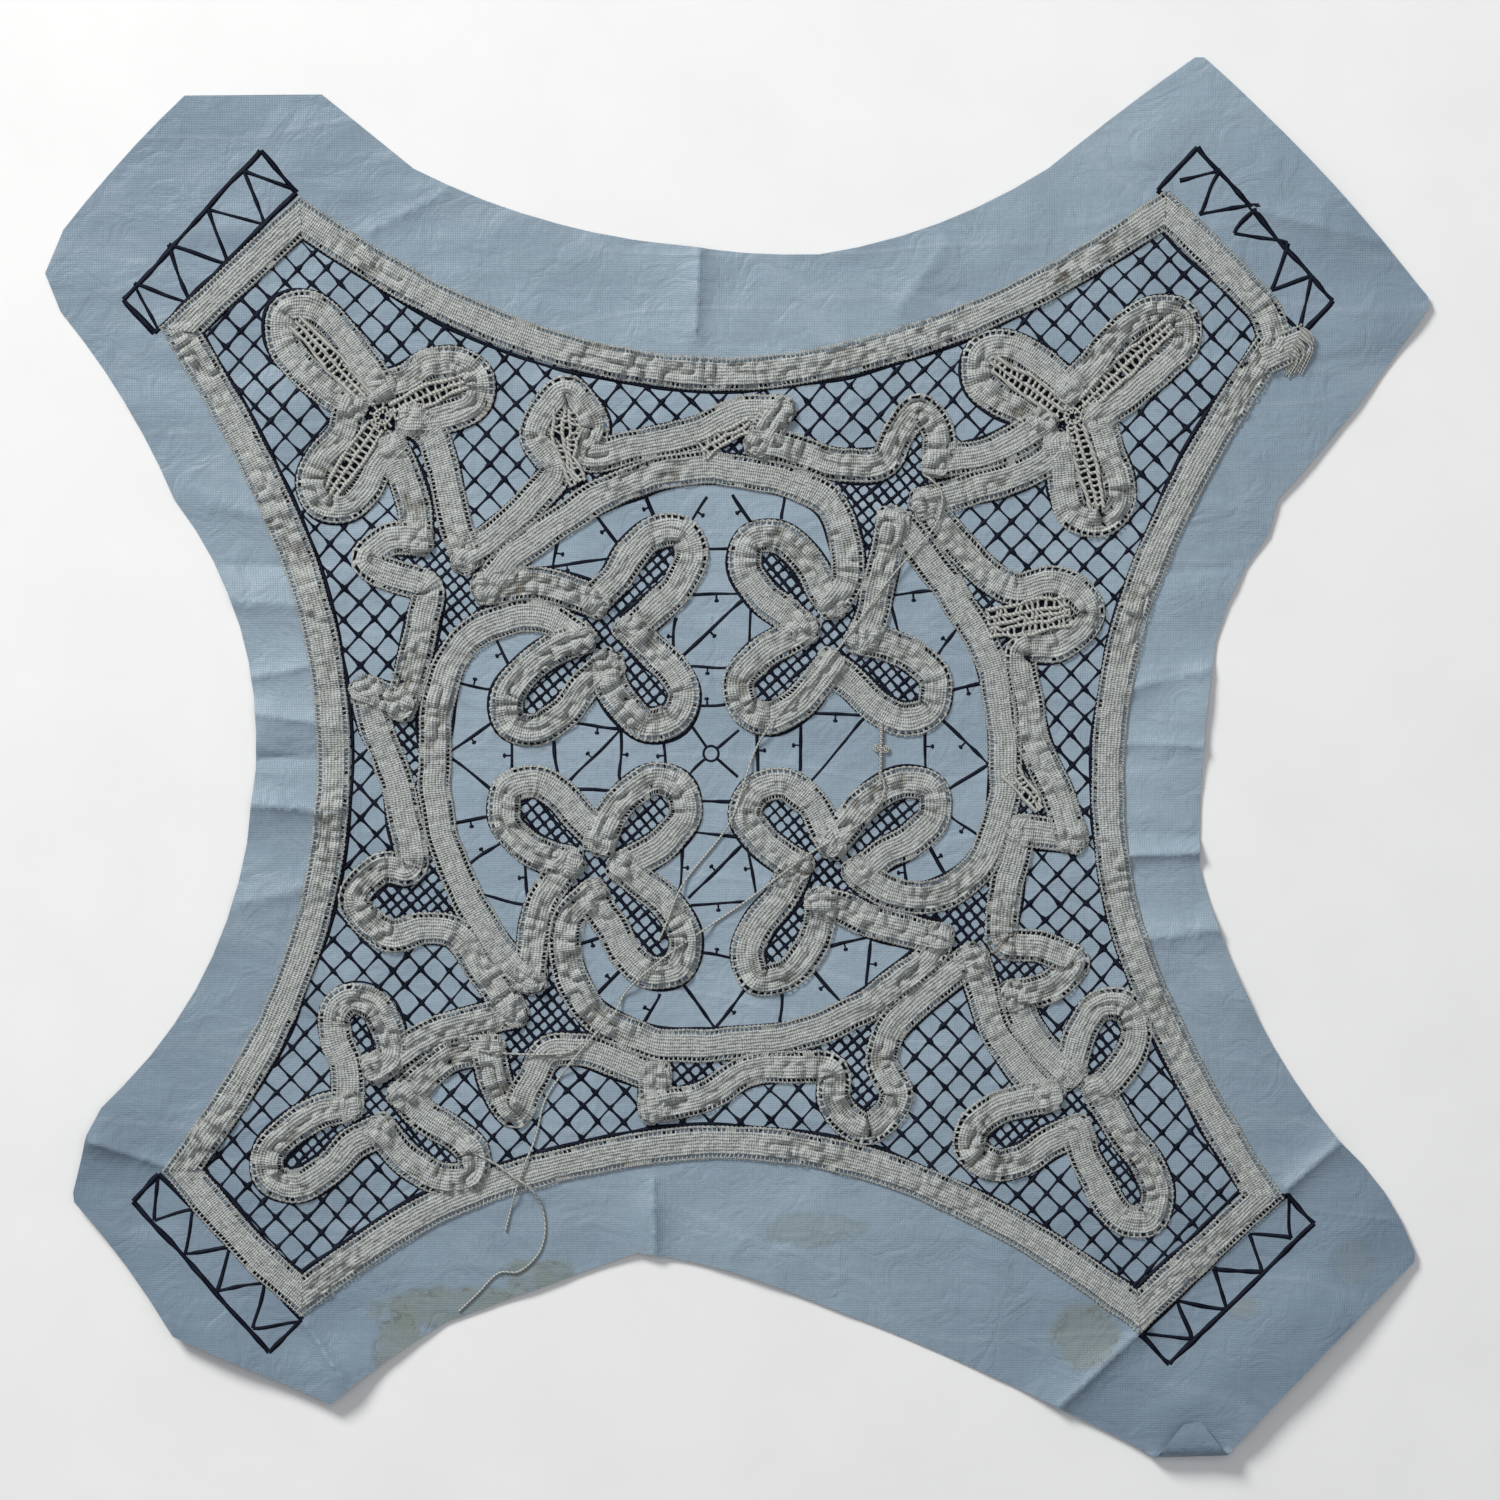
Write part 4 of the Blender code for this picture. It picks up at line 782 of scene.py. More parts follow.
def cut_edge():
    """The sheet's outline, with each bowed stretch as a shallow arc."""
    outline = []
    for row, after in zip(CUT_EDGE, (*CUT_EDGE[1:], CUT_EDGE[0])):
        start, end, bow = np.array(row[1:3]), np.array(after[1:3]), row[3]
        length = np.linalg.norm(end - start)
        outward = left_of(end - start) / length
        steps = max(1, round(length / EDGE_STEP)) if bow else max(1, round(length / (2 * EDGE_STEP)))
        for share in np.arange(steps) / steps:
            outline.append(start + (end - start) * share + outward * bow * 4 * share * (1 - share))
    return np.array(outline)


def border_sides():
    """The border's eight sides, each a smooth line from one mitred corner to the next."""
    sides = []
    for row, after in zip(BORDER, (*BORDER[1:], BORDER[0])):
        start, end = np.array(row[1:3]), np.array(after[1:3])
        inward = -left_of(heading(start, end))
        marks = [start]
        if any(row[3:]):
            steps = len(row) - 2
            marks += [start + (end - start) * k / steps + inward * sag for k, sag in enumerate(row[3:], 1)]
        marks.append(end)
        sides.append(smooth(marks))
    return sides


def border_line():
    """The border's middle line as one closed outline."""
    return np.concatenate([side[:-1:8] for side in border_sides()])


# The sheet's relief


def margin_rise(points):
    """How far the sheet lifts off the table outside the border, where creases and corners raise it."""
    border = border_line()
    beyond = distance_to(points, border) - TAPE_HALF - MARGIN_START
    beyond[inside(points, [border])] = 0.0
    share = np.clip(beyond / MARGIN_RAMP, 0, 1)
    share = share * share * (3 - 2 * share)
    rise = np.zeros(len(points))
    for _, x, y, bearing, height, width, reach in CREASES:
        along = (points - (x, y)) @ toward(bearing, 1.0)
        off = (points - (x, y)) @ toward(bearing + 90, 1.0)
        rise += height * np.exp(-((off / width) ** 2) - (along / reach) ** 4)
    for _, x, y, height, spread in LIFTS:
        rise += height * np.exp(-((np.linalg.norm(points - (x, y), axis=1) / spread) ** 2))
    return rise * share


def fold_ends():
    """Each sharp fold's two ends, with its height and width."""
    for _, x1, y1, x2, y2, height, width in SHARP_FOLDS:
        yield np.array([x1, y1]), np.array([x2, y2]), height, width


def fold_rise(points):
    """How far the sharp folds raise the sheet, or press it down."""
    rise = np.zeros(len(points))
    for start, end, height, width in fold_ends():
        rise += FOLD_STRENGTH * height * np.exp(-off_stretch(points, start, end) / width)
    return rise


def relief(points):
    """Height of the sheet's face: its cockles, its folds and the corners that have lifted."""
    x, y = points.T
    cockles = sum(amount * rough(x, y, size, shift) for amount, size, shift in COCKLES)
    beside = np.clip((np.abs(x) - WAVES_FROM) / WAVES_RAMP, 0, 1)
    cockles += 0.75 * beside * rough(0.35 * x, y, 13, 3)
    height = SHEET_FACE + cockles + margin_rise(points) + fold_rise(points)
    pressed = SHEET_LOWEST + SHEET_SPRING * np.exp((height - SHEET_LOWEST) / SHEET_SPRING - 1)
    return np.where(height < SHEET_LOWEST + SHEET_SPRING, pressed, height)


RELIEF_EDGE = 222.0
RELIEF_SIDE = int(2 * RELIEF_EDGE / SHEET_GRID) + 1
RELIEF_STEPS = np.linspace(-RELIEF_EDGE, RELIEF_EDGE, RELIEF_SIDE)
RELIEF_POINTS = np.column_stack([axis.ravel() for axis in np.meshgrid(RELIEF_STEPS, RELIEF_STEPS)])
RELIEF = relief(RELIEF_POINTS).reshape(RELIEF_SIDE, RELIEF_SIDE)


def ground(points):
    """Height of the sheet's face under each point, read off its relief."""
    places = (np.asarray(points)[:, :2] + RELIEF_EDGE) / (RELIEF_STEPS[1] - RELIEF_STEPS[0])
    places = np.clip(places, 0, RELIEF_SIDE - 1.001)
    i, j = places.astype(int).T
    u, v = (places - np.floor(places)).T
    near = RELIEF[j, i] * (1 - u) + RELIEF[j, i + 1] * u
    far = RELIEF[j + 1, i] * (1 - u) + RELIEF[j + 1, i + 1] * u
    return near * (1 - v) + far * v


def curled(points, heights):
    """The dog-ear's tongue, rolled up and back over the sheet past its line."""
    start, along = np.array(EAR_START), heading(EAR_START, EAR_END)
    outward = left_of(along)
    past = (points - start) @ outward
    beside = (points - start) @ along
    tongue = (past > 1e-6) & (beside > -1) & (beside < math.dist(EAR_START, EAR_END) + 1)
    placed_points = np.column_stack([points, heights])
    for i in np.flatnonzero(tongue):
        angle = min(past[i] / EAR_RADIUS, math.pi)
        flat = past[i] - angle * EAR_RADIUS
        placed_points[i, :2] += outward * (EAR_RADIUS * math.sin(angle) - flat - past[i])
        placed_points[i, 2] += EAR_RADIUS * (1 - math.cos(angle))
    return placed_points


# Making pieces


def in_frame(points):
    """Points of the tables, in metres and in the frame."""
    moved = np.array(points, float)
    moved[:, :2] -= BOX_CENTRE
    return moved * MM


def linked(name, data):
    """A new object with that data, in the scene."""
    made = bpy.data.objects.new(name, data)
    bpy.context.scene.collection.objects.link(made)
    return made


def finished(piece, finish, slot_name, *stands_for):
    """The piece with its finish, riding on the lace, in place of the solids that it stands for."""
    piece.data.materials.clear()
    piece.data.materials.append(finish)
    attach(piece, "root")
    if stands_for:
        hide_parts(*stands_for)
    return piece


def cloth_mesh(name, points, faces, layout=None, crumple=None):
    """A piece of cloth from its points and faces, with where each point lies on the flat tape."""
    mesh = bpy.data.meshes.new(name)
    mesh.from_pydata(in_frame(points).tolist(), [], faces)
    if layout is not None:
        corners = np.empty(len(mesh.loops), np.int32)
        mesh.loops.foreach_get("vertex_index", corners)
        flat = mesh.uv_layers.new(name="flat tape")
        flat.data.foreach_set("uv", layout[corners].astype(np.float32).ravel())
        # The crumples' depth, which the tape's finish turns into painted shade and soil in its hollows.
        worn = mesh.attributes.new("crumple", "FLOAT", "POINT")
        worn.data.foreach_set("value", crumple.astype(np.float32))
    mesh.polygons.foreach_set("use_smooth", [True] * len(mesh.polygons))
    return linked(name, mesh)


def thread_piece(name, lines, radius, sides=2):
    """Threads of that radius along the lines, as one piece. Points may have their own thickness."""
    drawn = bpy.data.curves.new(name, "CURVE")
    drawn.dimensions = "3D"
    drawn.twist_mode = "Z_UP"
    drawn.bevel_depth = radius * MM
    drawn.bevel_resolution = sides
    drawn.use_fill_caps = True
    for line in lines:
        line = np.asarray(line, float)
        spline = drawn.splines.new("POLY")
        spline.points.add(len(line) - 1)
        thickness = line[:, 3] if line.shape[1] > 3 else np.ones(len(line))
        spots = np.column_stack([in_frame(line[:, :3]), np.ones(len(line))])
        spline.points.foreach_set("co", spots.ravel())
        spline.points.foreach_set("radius", thickness)
    return linked(name, drawn)


def made_mesh(piece):
    """The thread piece as a mesh, smooth all over."""
    bpy.ops.object.select_all(action="DESELECT")
    piece.select_set(True)
    bpy.context.view_layer.objects.active = piece
    bpy.ops.object.convert(target="MESH")
    bpy.ops.object.shade_smooth()
    bpy.ops.object.select_all(action="DESELECT")
    return bpy.context.view_layer.objects.active


# Finishes


class Finish:
    """A material under construction: its shader, and short ways to add and link its nodes."""

    def __init__(self, name, roughness, specular=0.5):
        self.made = bpy.data.materials.new(name)
        self.made.use_nodes = True
        self.nodes = self.made.node_tree.nodes
        self.links = self.made.node_tree.links
        self.shader = self.nodes["Principled BSDF"]
        self.shader.inputs["Roughness"].default_value = roughness
        self.shader.inputs["Specular IOR Level"].default_value = specular
        self.place = self.add("TexCoord").outputs["Object"]

    def give(self, socket, value):
        """Links a value that comes from a node, or sets one that is the same all over."""
        if isinstance(value, bpy.types.NodeSocket):
            self.links.new(value, socket)
        else:
            socket.default_value = value

    def add(self, kind, inputs=(), **settings):
        node = self.nodes.new("ShaderNode" + kind)
        for key, value in settings.items():
            setattr(node, key, value)
        for key, value in dict(inputs).items():
            self.give(node.inputs[key], value)
        return node

    def maths(self, operation, first, second=0.0, third=0.0):
        node = self.add("Math", {0: first, 1: second, 2: third}, operation=operation)
        return node.outputs[0]

    def plus(self, first, second):
        return self.maths("ADD", first, second)

    def times(self, first, second):
        return self.maths("MULTIPLY", first, second)

    def some(self, first, share, second):
        """A share of the first, and the second."""
        return self.maths("MULTIPLY_ADD", first, share, second)

    def off(self, value, level):
        """How far the value is from the level, either way."""
        return self.maths("ABSOLUTE", self.maths("SUBTRACT", value, level))

    def length_of(self, vector):
        return self.add("VectorMath", {0: vector}, operation="LENGTH").outputs["Value"]

    def noise(self, vector, scale, detail=4.0, distortion=0.0):
        inputs = {"Vector": vector, "Scale": scale, "Detail": detail, "Distortion": distortion}
        return self.add("TexNoise", inputs).outputs[0]

    def waves(self, vector, pitch, distortion, direction="X", **more):
        """Even bands at that pitch, bent by the distortion."""
        inputs = {"Vector": vector, "Scale": WAVE_SCALE / pitch, "Distortion": distortion}
        inputs.update((key.replace("_", " "), value) for key, value in more.items())
        return self.add("TexWave", inputs, bands_direction=direction).outputs["Fac"]

    def ramp(self, value, *stops):
        node = self.add("ValToRGB", {"Fac": value})
        while len(node.color_ramp.elements) < len(stops):
            node.color_ramp.elements.new(0.5)
        for element, (place, colour) in zip(node.color_ramp.elements, stops):
            element.position = place
            element.color = (*colour, 1)
        return node.outputs[0]

    def between(self, value, low, high, to_low=0.0, to_high=1.0):
        inputs = {"Value": value, "From Min": low, "From Max": high, "To Min": to_low, "To Max": to_high}
        return self.add("MapRange", inputs).outputs[0]

    def mixed(self, share, first, colour):
        """The first colour, with that share of the other over it."""
        node = self.add("Mix", data_type="RGBA")
        sockets = {(socket.name, socket.type): socket for socket in node.inputs}
        self.give(sockets["Factor", "VALUE"], share)
        self.give(sockets["A", "RGBA"], first)
        self.give(sockets["B", "RGBA"], (*colour, 1))
        return next(socket for socket in node.outputs if socket.type == "RGBA")

    def coloured(self, colour):
        self.links.new(colour, self.shader.inputs["Base Color"])

    def raised(self, height, distance, strength=1.0):
        inputs = {"Height": height, "Distance": distance, "Strength": strength}
        self.links.new(self.add("Bump", inputs).outputs[0], self.shader.inputs["Normal"])


def painted_corner_shade(finish, cloud):
    """Painted shade on the cloth: far from its middle, most in the south, none in the lit north-east."""
    reach = finish.some(cloud, 0.05, finish.length_of(finish.place))
    spot = finish.add("SeparateXYZ", {0: finish.place}).outputs
    lit = finish.between(finish.some(spot["X"], -0.35, spot["Y"]), 0.09, 0.14)
    lit = finish.times(lit, finish.between(spot["X"], 0.0, 0.06))
    far = finish.between(reach, 0.15, 0.27, 0.0, 0.9)
    low = finish.between(spot["Y"], -0.05, 0.12, 1.0, 0.62)
    return finish.times(finish.times(far, low), finish.some(lit, -0.95, 1.0))


def stained(finish, colour, crinkle, x, y, half_width, half_height, strength):
    """The colour with one stain over it: mottled inside, and specked along its rim."""
    inputs = {
        "Vector": finish.place,
        "Location": (-x / half_width, -y / half_height, 0),
        "Scale": (1 / (half_width * MM), 1 / (half_height * MM), 0),
    }
    far = finish.length_of(finish.add("Mapping", inputs).outputs[0])
    edge = finish.times(finish.noise(finish.place, 130.0, 6.0), 1.2)
    share = finish.between(finish.plus(far, edge), 1.3, 1.55, strength, 0.0)
    mottled = finish.times(share, finish.between(crinkle, 0.0, 0.2, 1.0, 0.55))
    colour = finish.mixed(mottled, colour, STAIN)
    rim = finish.between(finish.off(far, 0.72), 0.0, 0.22, 0.7, 0.0)
    specked = finish.between(finish.noise(finish.place, 420.0, 5.0, 0.8), 0.52, 0.6, 0.0, strength)
    return finish.mixed(finish.times(rim, specked), colour, STAIN_RIM)


def glazed_cloth():
    """Blue-grey glazed cotton: a fine weave under a dull polish, crinkled and marked, with corners in
    painted shade.
    """
    finish = Finish("glazed blue-grey cloth", 0.42, 0.35)
    place = finish.place
    weave, weft = (finish.waves(place, CLOTH_THREAD * MM, 0.8, direction) for direction in "XY")
    inputs = {"Vector": place, "Rotation": (0, 0, 0.12), "Scale": (0.45, 1.6, 1)}
    drawn = finish.add("Mapping", inputs).outputs[0]
    streak = finish.noise(drawn, 34.0, 6.0, 0.1)
    crease = finish.between(finish.off(finish.noise(drawn, 21.0, 1.0, 0.2), 0.5), 0.0, 0.03, 1.0, 0.0)
    crinkle = finish.off(finish.noise(place, 85.0, 4.0, 0.8), 0.5)
    cloud = finish.noise(place, 13.0, 4.0, 0.5)
    speck = finish.noise(place, 800.0, 2.0)
    tone = finish.some(streak, 0.25, finish.some(speck, 0.25, finish.times(cloud, 0.55)))
    colour = finish.ramp(tone, (0.36, SHEET_DARK), (0.68, SHEET_LIGHT))
    # Painted shade over the corners and the south; the lit north-east is kept bright.
    colour = finish.mixed(painted_corner_shade(finish, cloud), colour, SHEET_CORNER_SHADE)
    colour = finish.mixed(finish.times(crease, 0.05), colour, SHEET_CREASE)
    for _, *stain in STAINS:
        colour = stained(finish, colour, crinkle, *stain)
    finish.coloured(colour)
    height = finish.some(finish.plus(weave, weft), 0.03, finish.times(crinkle, 0.9))
    height = finish.some(crease, 0.07, finish.some(streak, 1.0, height))
    finish.raised(height, 1.2 * MM, 0.9)
    return finish.made


def woven_tape():
    """Unbleached linen tape: cloth ribs along its middle, bare threads across the ladders by its edges."""
    finish = Finish("unbleached woven tape", 0.9, 0.12)
    flat = finish.add("UVMap", uv_map="flat tape").outputs[0]
    hollow = finish.add("Attribute", attribute_name="crumple").outputs["Fac"]
    across = finish.add("SeparateXYZ", {0: flat}).outputs["Y"]
    middle = finish.between(finish.maths("ABSOLUTE", across), 3.2, 3.5, 1.0, 0.0)
    more = {"Detail": 3.0, "Detail_Scale": 1.2, "Phase_Offset": math.pi}
    ribs = finish.waves(flat, TAPE_RIB, 1.6, "Y", **more)
    picks = finish.waves(flat, TAPE_PICK, 3.0, Detail=2.0, Detail_Scale=1.4)
    woven = finish.some(finish.times(ribs, middle), 0.45, finish.times(picks, 0.38))
    height = finish.some(finish.noise(flat, 1.7, 3.0, 0.6), 1.15, woven)
    slub = finish.noise(flat, 0.45, 4.0)
    # Painted light and shade: the tone follows the weave's bump height, so crests are lit and furrows
    # shaded, with random slub mixed in.
    tone = finish.plus(finish.times(height, 0.5), finish.times(slub, 0.3))
    # Painted shade: darker in the hollows of the crumples.
    tone = finish.maths("SUBTRACT", tone, finish.times(hollow, 0.2))
    colour = finish.ramp(tone, (0.22, TAPE_SHADED), (0.5, TAPE_MIDDLE), (0.78, TAPE_LIT))
    # Dark specks at random, in the shaded tone.
    pits = finish.between(finish.noise(flat, 0.75, 2.0, 0.5), 0.6, 0.74, 0.0, 0.55)
    colour = finish.mixed(pits, colour, TAPE_SHADED)
    # Brown soil in random patches, laid mostly into the crumples' hollows, so it is painted shade as well
    # as dirt.
    soiled = finish.between(finish.noise(finish.place, 70.0, 3.0), 0.5, 0.7, 0.0, 0.55)
    soil_and_crevice_shade = finish.times(soiled, finish.between(hollow, 0.35, 1.0, 0.06, 1.0))
    finish.coloured(finish.mixed(soil_and_crevice_shade, colour, TAPE_SOIL_AND_SHADE))
    finish.raised(height, 0.5 * MM, 1.0)
    finish.shader.inputs["Sheen Weight"].default_value = 0.1
    return finish.made


def spun_thread():
    """Twisted linen thread, with a little fuzz, and painted shade in the grooves of its twist."""
    finish = Finish("spun linen thread", 0.85, 0.2)
    twist = finish.waves(finish.place, THREAD_TWIST * MM, 1.2, "DIAGONAL")
    fuzz = finish.noise(finish.place, 2400.0, 2.0)
    height = finish.plus(finish.times(twist, 0.6), finish.times(fuzz, 0.5))
    # Painted shade and light: the twist's grooves take the shaded tone and its crests the lit one, with
    # random fuzz.
    finish.coloured(finish.ramp(height, (0.2, THREAD_SHADED), (0.8, THREAD_LIT)))
    finish.raised(height, 0.2 * MM, 0.8)
    return finish.made


def pen_ink():
    """Blue-black ink, thinner where the pen ran dry."""
    finish = Finish("blue-black ink", 0.55, 0.08)
    dry = finish.noise(finish.place, 260.0, 3.0)
    finish.coloured(finish.ramp(dry, (0.35, INK_DARK), (0.75, INK_THIN)))
    finish.raised(finish.noise(finish.place, 1500.0, 2.0), 0.05 * MM, 0.3)
    return finish.made


# The sheet


def keep_rim_crisp(cloth):
    """The cut edge of the cloth stays crisp once it is given its thickness."""
    shape = bmesh.new()
    shape.from_mesh(cloth.data)
    for edge in shape.edges:
        edge.smooth = not edge.is_boundary
    shape.to_mesh(cloth.data)
    shape.free()


def creased_points(outline):
    """Points close beside each sharp fold and along it, so that the fold stays sharp."""
    points = []
    for start, end, _, width in fold_ends():
        way, side = end - start, left_of(heading(start, end))
        flank = CREASE_FLANK * width
        for share in np.linspace(0, 1, int(math.dist(start, end) / CREASE_STEP) + 1):
            points.extend(start + way * share + side * off for off in (-flank, 0.0, flank))
    points = np.array(points)
    points = points[inside(points, [outline])]
    return points[distance_to(points, outline) > CREASE_STEP / 3]


def sheet_points(outline):
    """The points of the sheet's mesh: along its cut edge, and those inside it."""
    inner = RELIEF_POINTS[inside(RELIEF_POINTS, [outline])]
    inner = inner[distance_to(inner, outline) > SHEET_GRID * 0.45]
    edge = []
    for start, end in zip(outline, np.roll(outline, -1, axis=0)):
        steps = max(1, round(np.linalg.norm(end - start) / SHEET_GRID))
        edge.extend(start + (end - start) * k / steps for k in range(steps))
    return np.array(edge), np.concatenate([inner, creased_points(outline)])


def filled(edge, inner):
    """(points, triangles, area) of the flat sheet inside its edge, without slivers."""
    count = len(edge)
    edges = [(k, (k + 1) % count) for k in range(count)]
    points = [tuple(point) for point in (*edge, *inner)]
    found, _, triangles, *_ = delaunay_2d_cdt(points, edges, [], 0, 1e-4, True)
    found, triangles = np.array(found), np.array(triangles)
    triangles = triangles[inside(found[triangles].mean(axis=1), [edge])]
    a, b, c = (found[triangles[:, k]] for k in range(3))
    areas = np.abs((b - a)[:, 0] * (c - a)[:, 1] - (b - a)[:, 1] * (c - a)[:, 0]) / 2
    return found, triangles[areas > SLIVER].tolist(), areas.sum()


def make_sheet(finish):
    found, triangles, area = filled(*sheet_points(cut_edge()))
    cloth = cloth_mesh("glazed_pattern_cloth", curled(found, relief(found)), triangles)
    keep_rim_crisp(cloth)
    thickness = cloth.modifiers.new("thickness", "SOLIDIFY")
    thickness.thickness = SHEET_CLOTH * MM
    thickness.offset = -1
    finished(cloth, finish, "sheet", "pattern_sheet")
    return cloth


# The woven tapes


def columns():
    """How far out each column of the tape's section lies, from right to left, and its rise."""
    out = [row[1] for row in TAPE_COLUMNS]
    rise = [row[2] for row in TAPE_COLUMNS]
    out = np.array([*(-x for x in out), 0.0, *reversed(out)])
    return out, np.array([*rise, MIDDLE_RISE, *reversed(rise)])


def stationed(line):
    """The line's length, and its ladder steps, with a straight tail past each end.

    Each step has its distance along the line, its point, its way, its bend, and how far out the tape
    can reach on the inner side of that bend.
    """
    path, along = in_ladder_steps(line)
    total = along[-1]
    way = np.gradient(path, along, axis=0)
    way /= np.linalg.norm(way, axis=1)[:, None]
    turned = np.unwrap(np.arctan2(way[:, 1], way[:, 0]))
    bend = blurred(np.gradient(turned, along), 2)
    inner = np.minimum(TAPE_HALF, TIGHTEST / np.maximum(np.abs(bend), 1e-6))
    inner = np.minimum(blurred(inner, 2), 1.05 * inner)
    pairs = round(FOLD_TAIL / (LADDER_GAP + LADDER_BAR))
    after = total + np.cumsum(np.tile([LADDER_GAP, LADDER_BAR], pairs))
    before = -np.cumsum(np.tile([LADDER_BAR, LADDER_GAP], pairs))[::-1]
    lead, trail = path[0] + before[:, None] * way[0], path[-1] + (after - total)[:, None] * way[-1]
    way, bend, inner = (
        np.concatenate([np.repeat(v[:1], len(before), 0), v, np.repeat(v[-1:], len(after), 0)])
        for v in (way, bend, inner)
    )
    path = np.concatenate([lead, path, trail])
    return total, np.concatenate([before, along, after]), path, way, bend, inner


def crumpled(run, across, turning, folded):
    """How far the pleats of a bend and the puffs of a worn tape stand out, all over its cloth."""
    tight = np.clip(np.abs(turning) * TAPE_HALF, 0, 0.9)
    inward = 0.5 + 0.5 * np.sign(turning) * across / TAPE_HALF
    worn = WEAR + stray("wear", run, across) + WEAR_AT_BENDS * (tight + folded)
    worn = np.clip(worn, LEAST_WORN, MOST_WORN)
    pleats = np.abs(np.sin(np.pi * (run / PLEAT + stray("pleat places", run, across)))) - PLEAT_LEVEL
    pleats *= 0.75 + stray("pleat depth", run, across)
    puffs = np.minimum(np.abs(stray("puffs", run, across)), PUFF_TOP) - PUFF_LEVEL
    height = PLEAT_HEIGHT * tight**0.8 * inward**1.2 * pleats + PUFF_HEIGHT * worn * puffs
    return height + worn * stray("crumples", run, across)


class Tape:
    """One woven tape as its runs are laid, gathered into one piece at the end."""

    def __init__(self, name):
        self.name = name
        self.points, self.faces, self.layout, self.crumple = [], [], [], []
        self.count, self.length = 0, 0.0

    def lay(self, line, first, last, folds=(True, True), lift=0.0):
        """Lays a run along the line. Column by column, it starts and ends at those distances along it."""
        offsets, rises = columns()
        total, stations, path, way, bend, inner = stationed(line)
        s = np.clip(stations[:, None], first(offsets)[None, :], last(offsets)[None, :])
        across = np.broadcast_to(offsets[None, :], s.shape)
        run = s + self.length

        def read(values):
            return np.interp(s.ravel(), stations, values).reshape(s.shape)

        # How the columns spread to either side of the line
        beyond = np.maximum(np.maximum(-s * folds[0], (s - total) * folds[1]), 0)
        rounding = np.sqrt(np.clip(1 - (beyond / (FOLD_REACH * 1.02)) ** FOLD_SQUARENESS, 0.0, 1))
        turning = read(bend)
        half_here = np.where(across * turning > 0, read(inner), TAPE_HALF)
        teeth = SCALLOP * ((np.arange(len(stations)) % 2) - 0.5)[:, None] * (np.abs(across) == TAPE_HALF)
        out = (across * half_here / TAPE_HALF + np.sign(across) * teeth) * rounding
        out = out * (1 + stray("width", run, across))
        if any(folds):
            out = out + stray("folded width", run, across) * np.clip(1 - beyond, 0, 1)
        out = out + stray("columns", run, across) * (np.abs(across) < RIBS_WITHIN)
        slip = stray("selvedges", run, np.sign(across)) * (np.abs(across) > CORDS_BEYOND)
        x = read(path[:, 0]) - read(way[:, 1]) * out + read(way[:, 0]) * slip
        y = read(path[:, 1]) + read(way[:, 0]) * out + read(way[:, 1]) * slip

        # How high it lies, over the sheet and its own folds
        seat = ground(np.column_stack([x.ravel(), y.ravel()])).reshape(s.shape)
        cloth = np.clip((TAPE_HALF - np.abs(across)) / SELVEDGE_EASE, SELVEDGE_SHARE, 1)
        start_fold = np.exp(-((s / LUMP_SPREAD) ** 2)) * folds[0]
        end_fold = np.exp(-(((total - s) / LUMP_SPREAD) ** 2)) * folds[1]
        folded = start_fold + end_fold
        creased = crumpled(run, across, turning, folded) * cloth
        ribbed = np.clip(RIB_SHARE + stray("ribs", run, across), LEAST_RIBBED, MOST_RIBBED)
        z = seat + TAPE_LIFT + lift + RIB_LEVEL + (rises[None, :] - RIB_LEVEL) * ribbed
        z += creased + stray("knots", run, across) * cloth
        z += FOLD_PLUMPNESS * folded * cloth + LUMP_RISE * end_fold * (0.35 + 0.65 * cloth)
        z = np.maximum(z, seat + TAPE_CLEARANCE)

        rows, wide = s.shape
        index = self.count + np.arange(rows * wide).reshape(rows, wide)
        self.points.append(np.column_stack([x.ravel(), y.ravel(), z.ravel()]))
        self.layout.append(np.column_stack([run.ravel(), across.ravel()]))
        # How deep each point lies in the crumples, for the painted shade in their hollows.
        self.crumple.append(np.clip(0.1 - HOLLOW_DEPTH * creased, 0, 1).ravel())
        moved = np.maximum(s[1:, :-1] - s[:-1, :-1], s[1:, 1:] - s[:-1, 1:])
        kept = (moved > 1e-4) & (np.minimum(rounding[:-1, :-1], rounding[1:, :-1]) > 0.0)
        for column in (2, wide - 4):
            hole = (np.arange(rows - 1) % 2 == 0) & (half_here[:-1, column] > OPEN_SHARE * TAPE_HALF)
            matted = stray("matting", run[:-1, column], column) > MATTED_OVER
            kept[:, column] &= ~(hole & ~matted & (folded[:-1, column] < SHUT_BY_FOLDS))
        corners = (index[:-1, :-1], index[1:, :-1], index[1:, 1:], index[:-1, 1:])
        self.faces.append(np.stack([corner[kept] for corner in corners], axis=1))
        self.count += rows * wide
        self.length += total + RUN_APART

    def piece(self, finish, *stands_for):
        points, faces = np.concatenate(self.points), np.concatenate(self.faces)
        layout, crumple = np.concatenate(self.layout), np.concatenate(self.crumple)
        used = np.unique(faces)
        renumbered = np.full(len(points), -1)
        renumbered[used] = np.arange(len(used))
        made = cloth_mesh(self.name, points[used], renumbered[faces].tolist(), layout[used], crumple[used])
        finished(made, finish, "tape", *stands_for)
        return made


def laid_tape(name, marks, finish, stands_for):
    """A tape laid from fold to fold, each run over the end of the one before it."""
    tape = Tape(name)
    for line in runs_of(marks):
        end = in_ladder_steps(line)[1][-1] + FOLD_REACH
        tape.lay(line, lambda offsets: 0 * offsets - FOLD_REACH, lambda offsets: 0 * offsets + end)
    return tape.piece(finish, stands_for)


def turn_between(before, after):
    """How far one side's end turns into the next side's start, to the left."""
    a, b = before[-1] - before[-4], after[3] - after[0]
    return math.atan2(a[0] * b[1] - a[1] * b[0], a @ b)


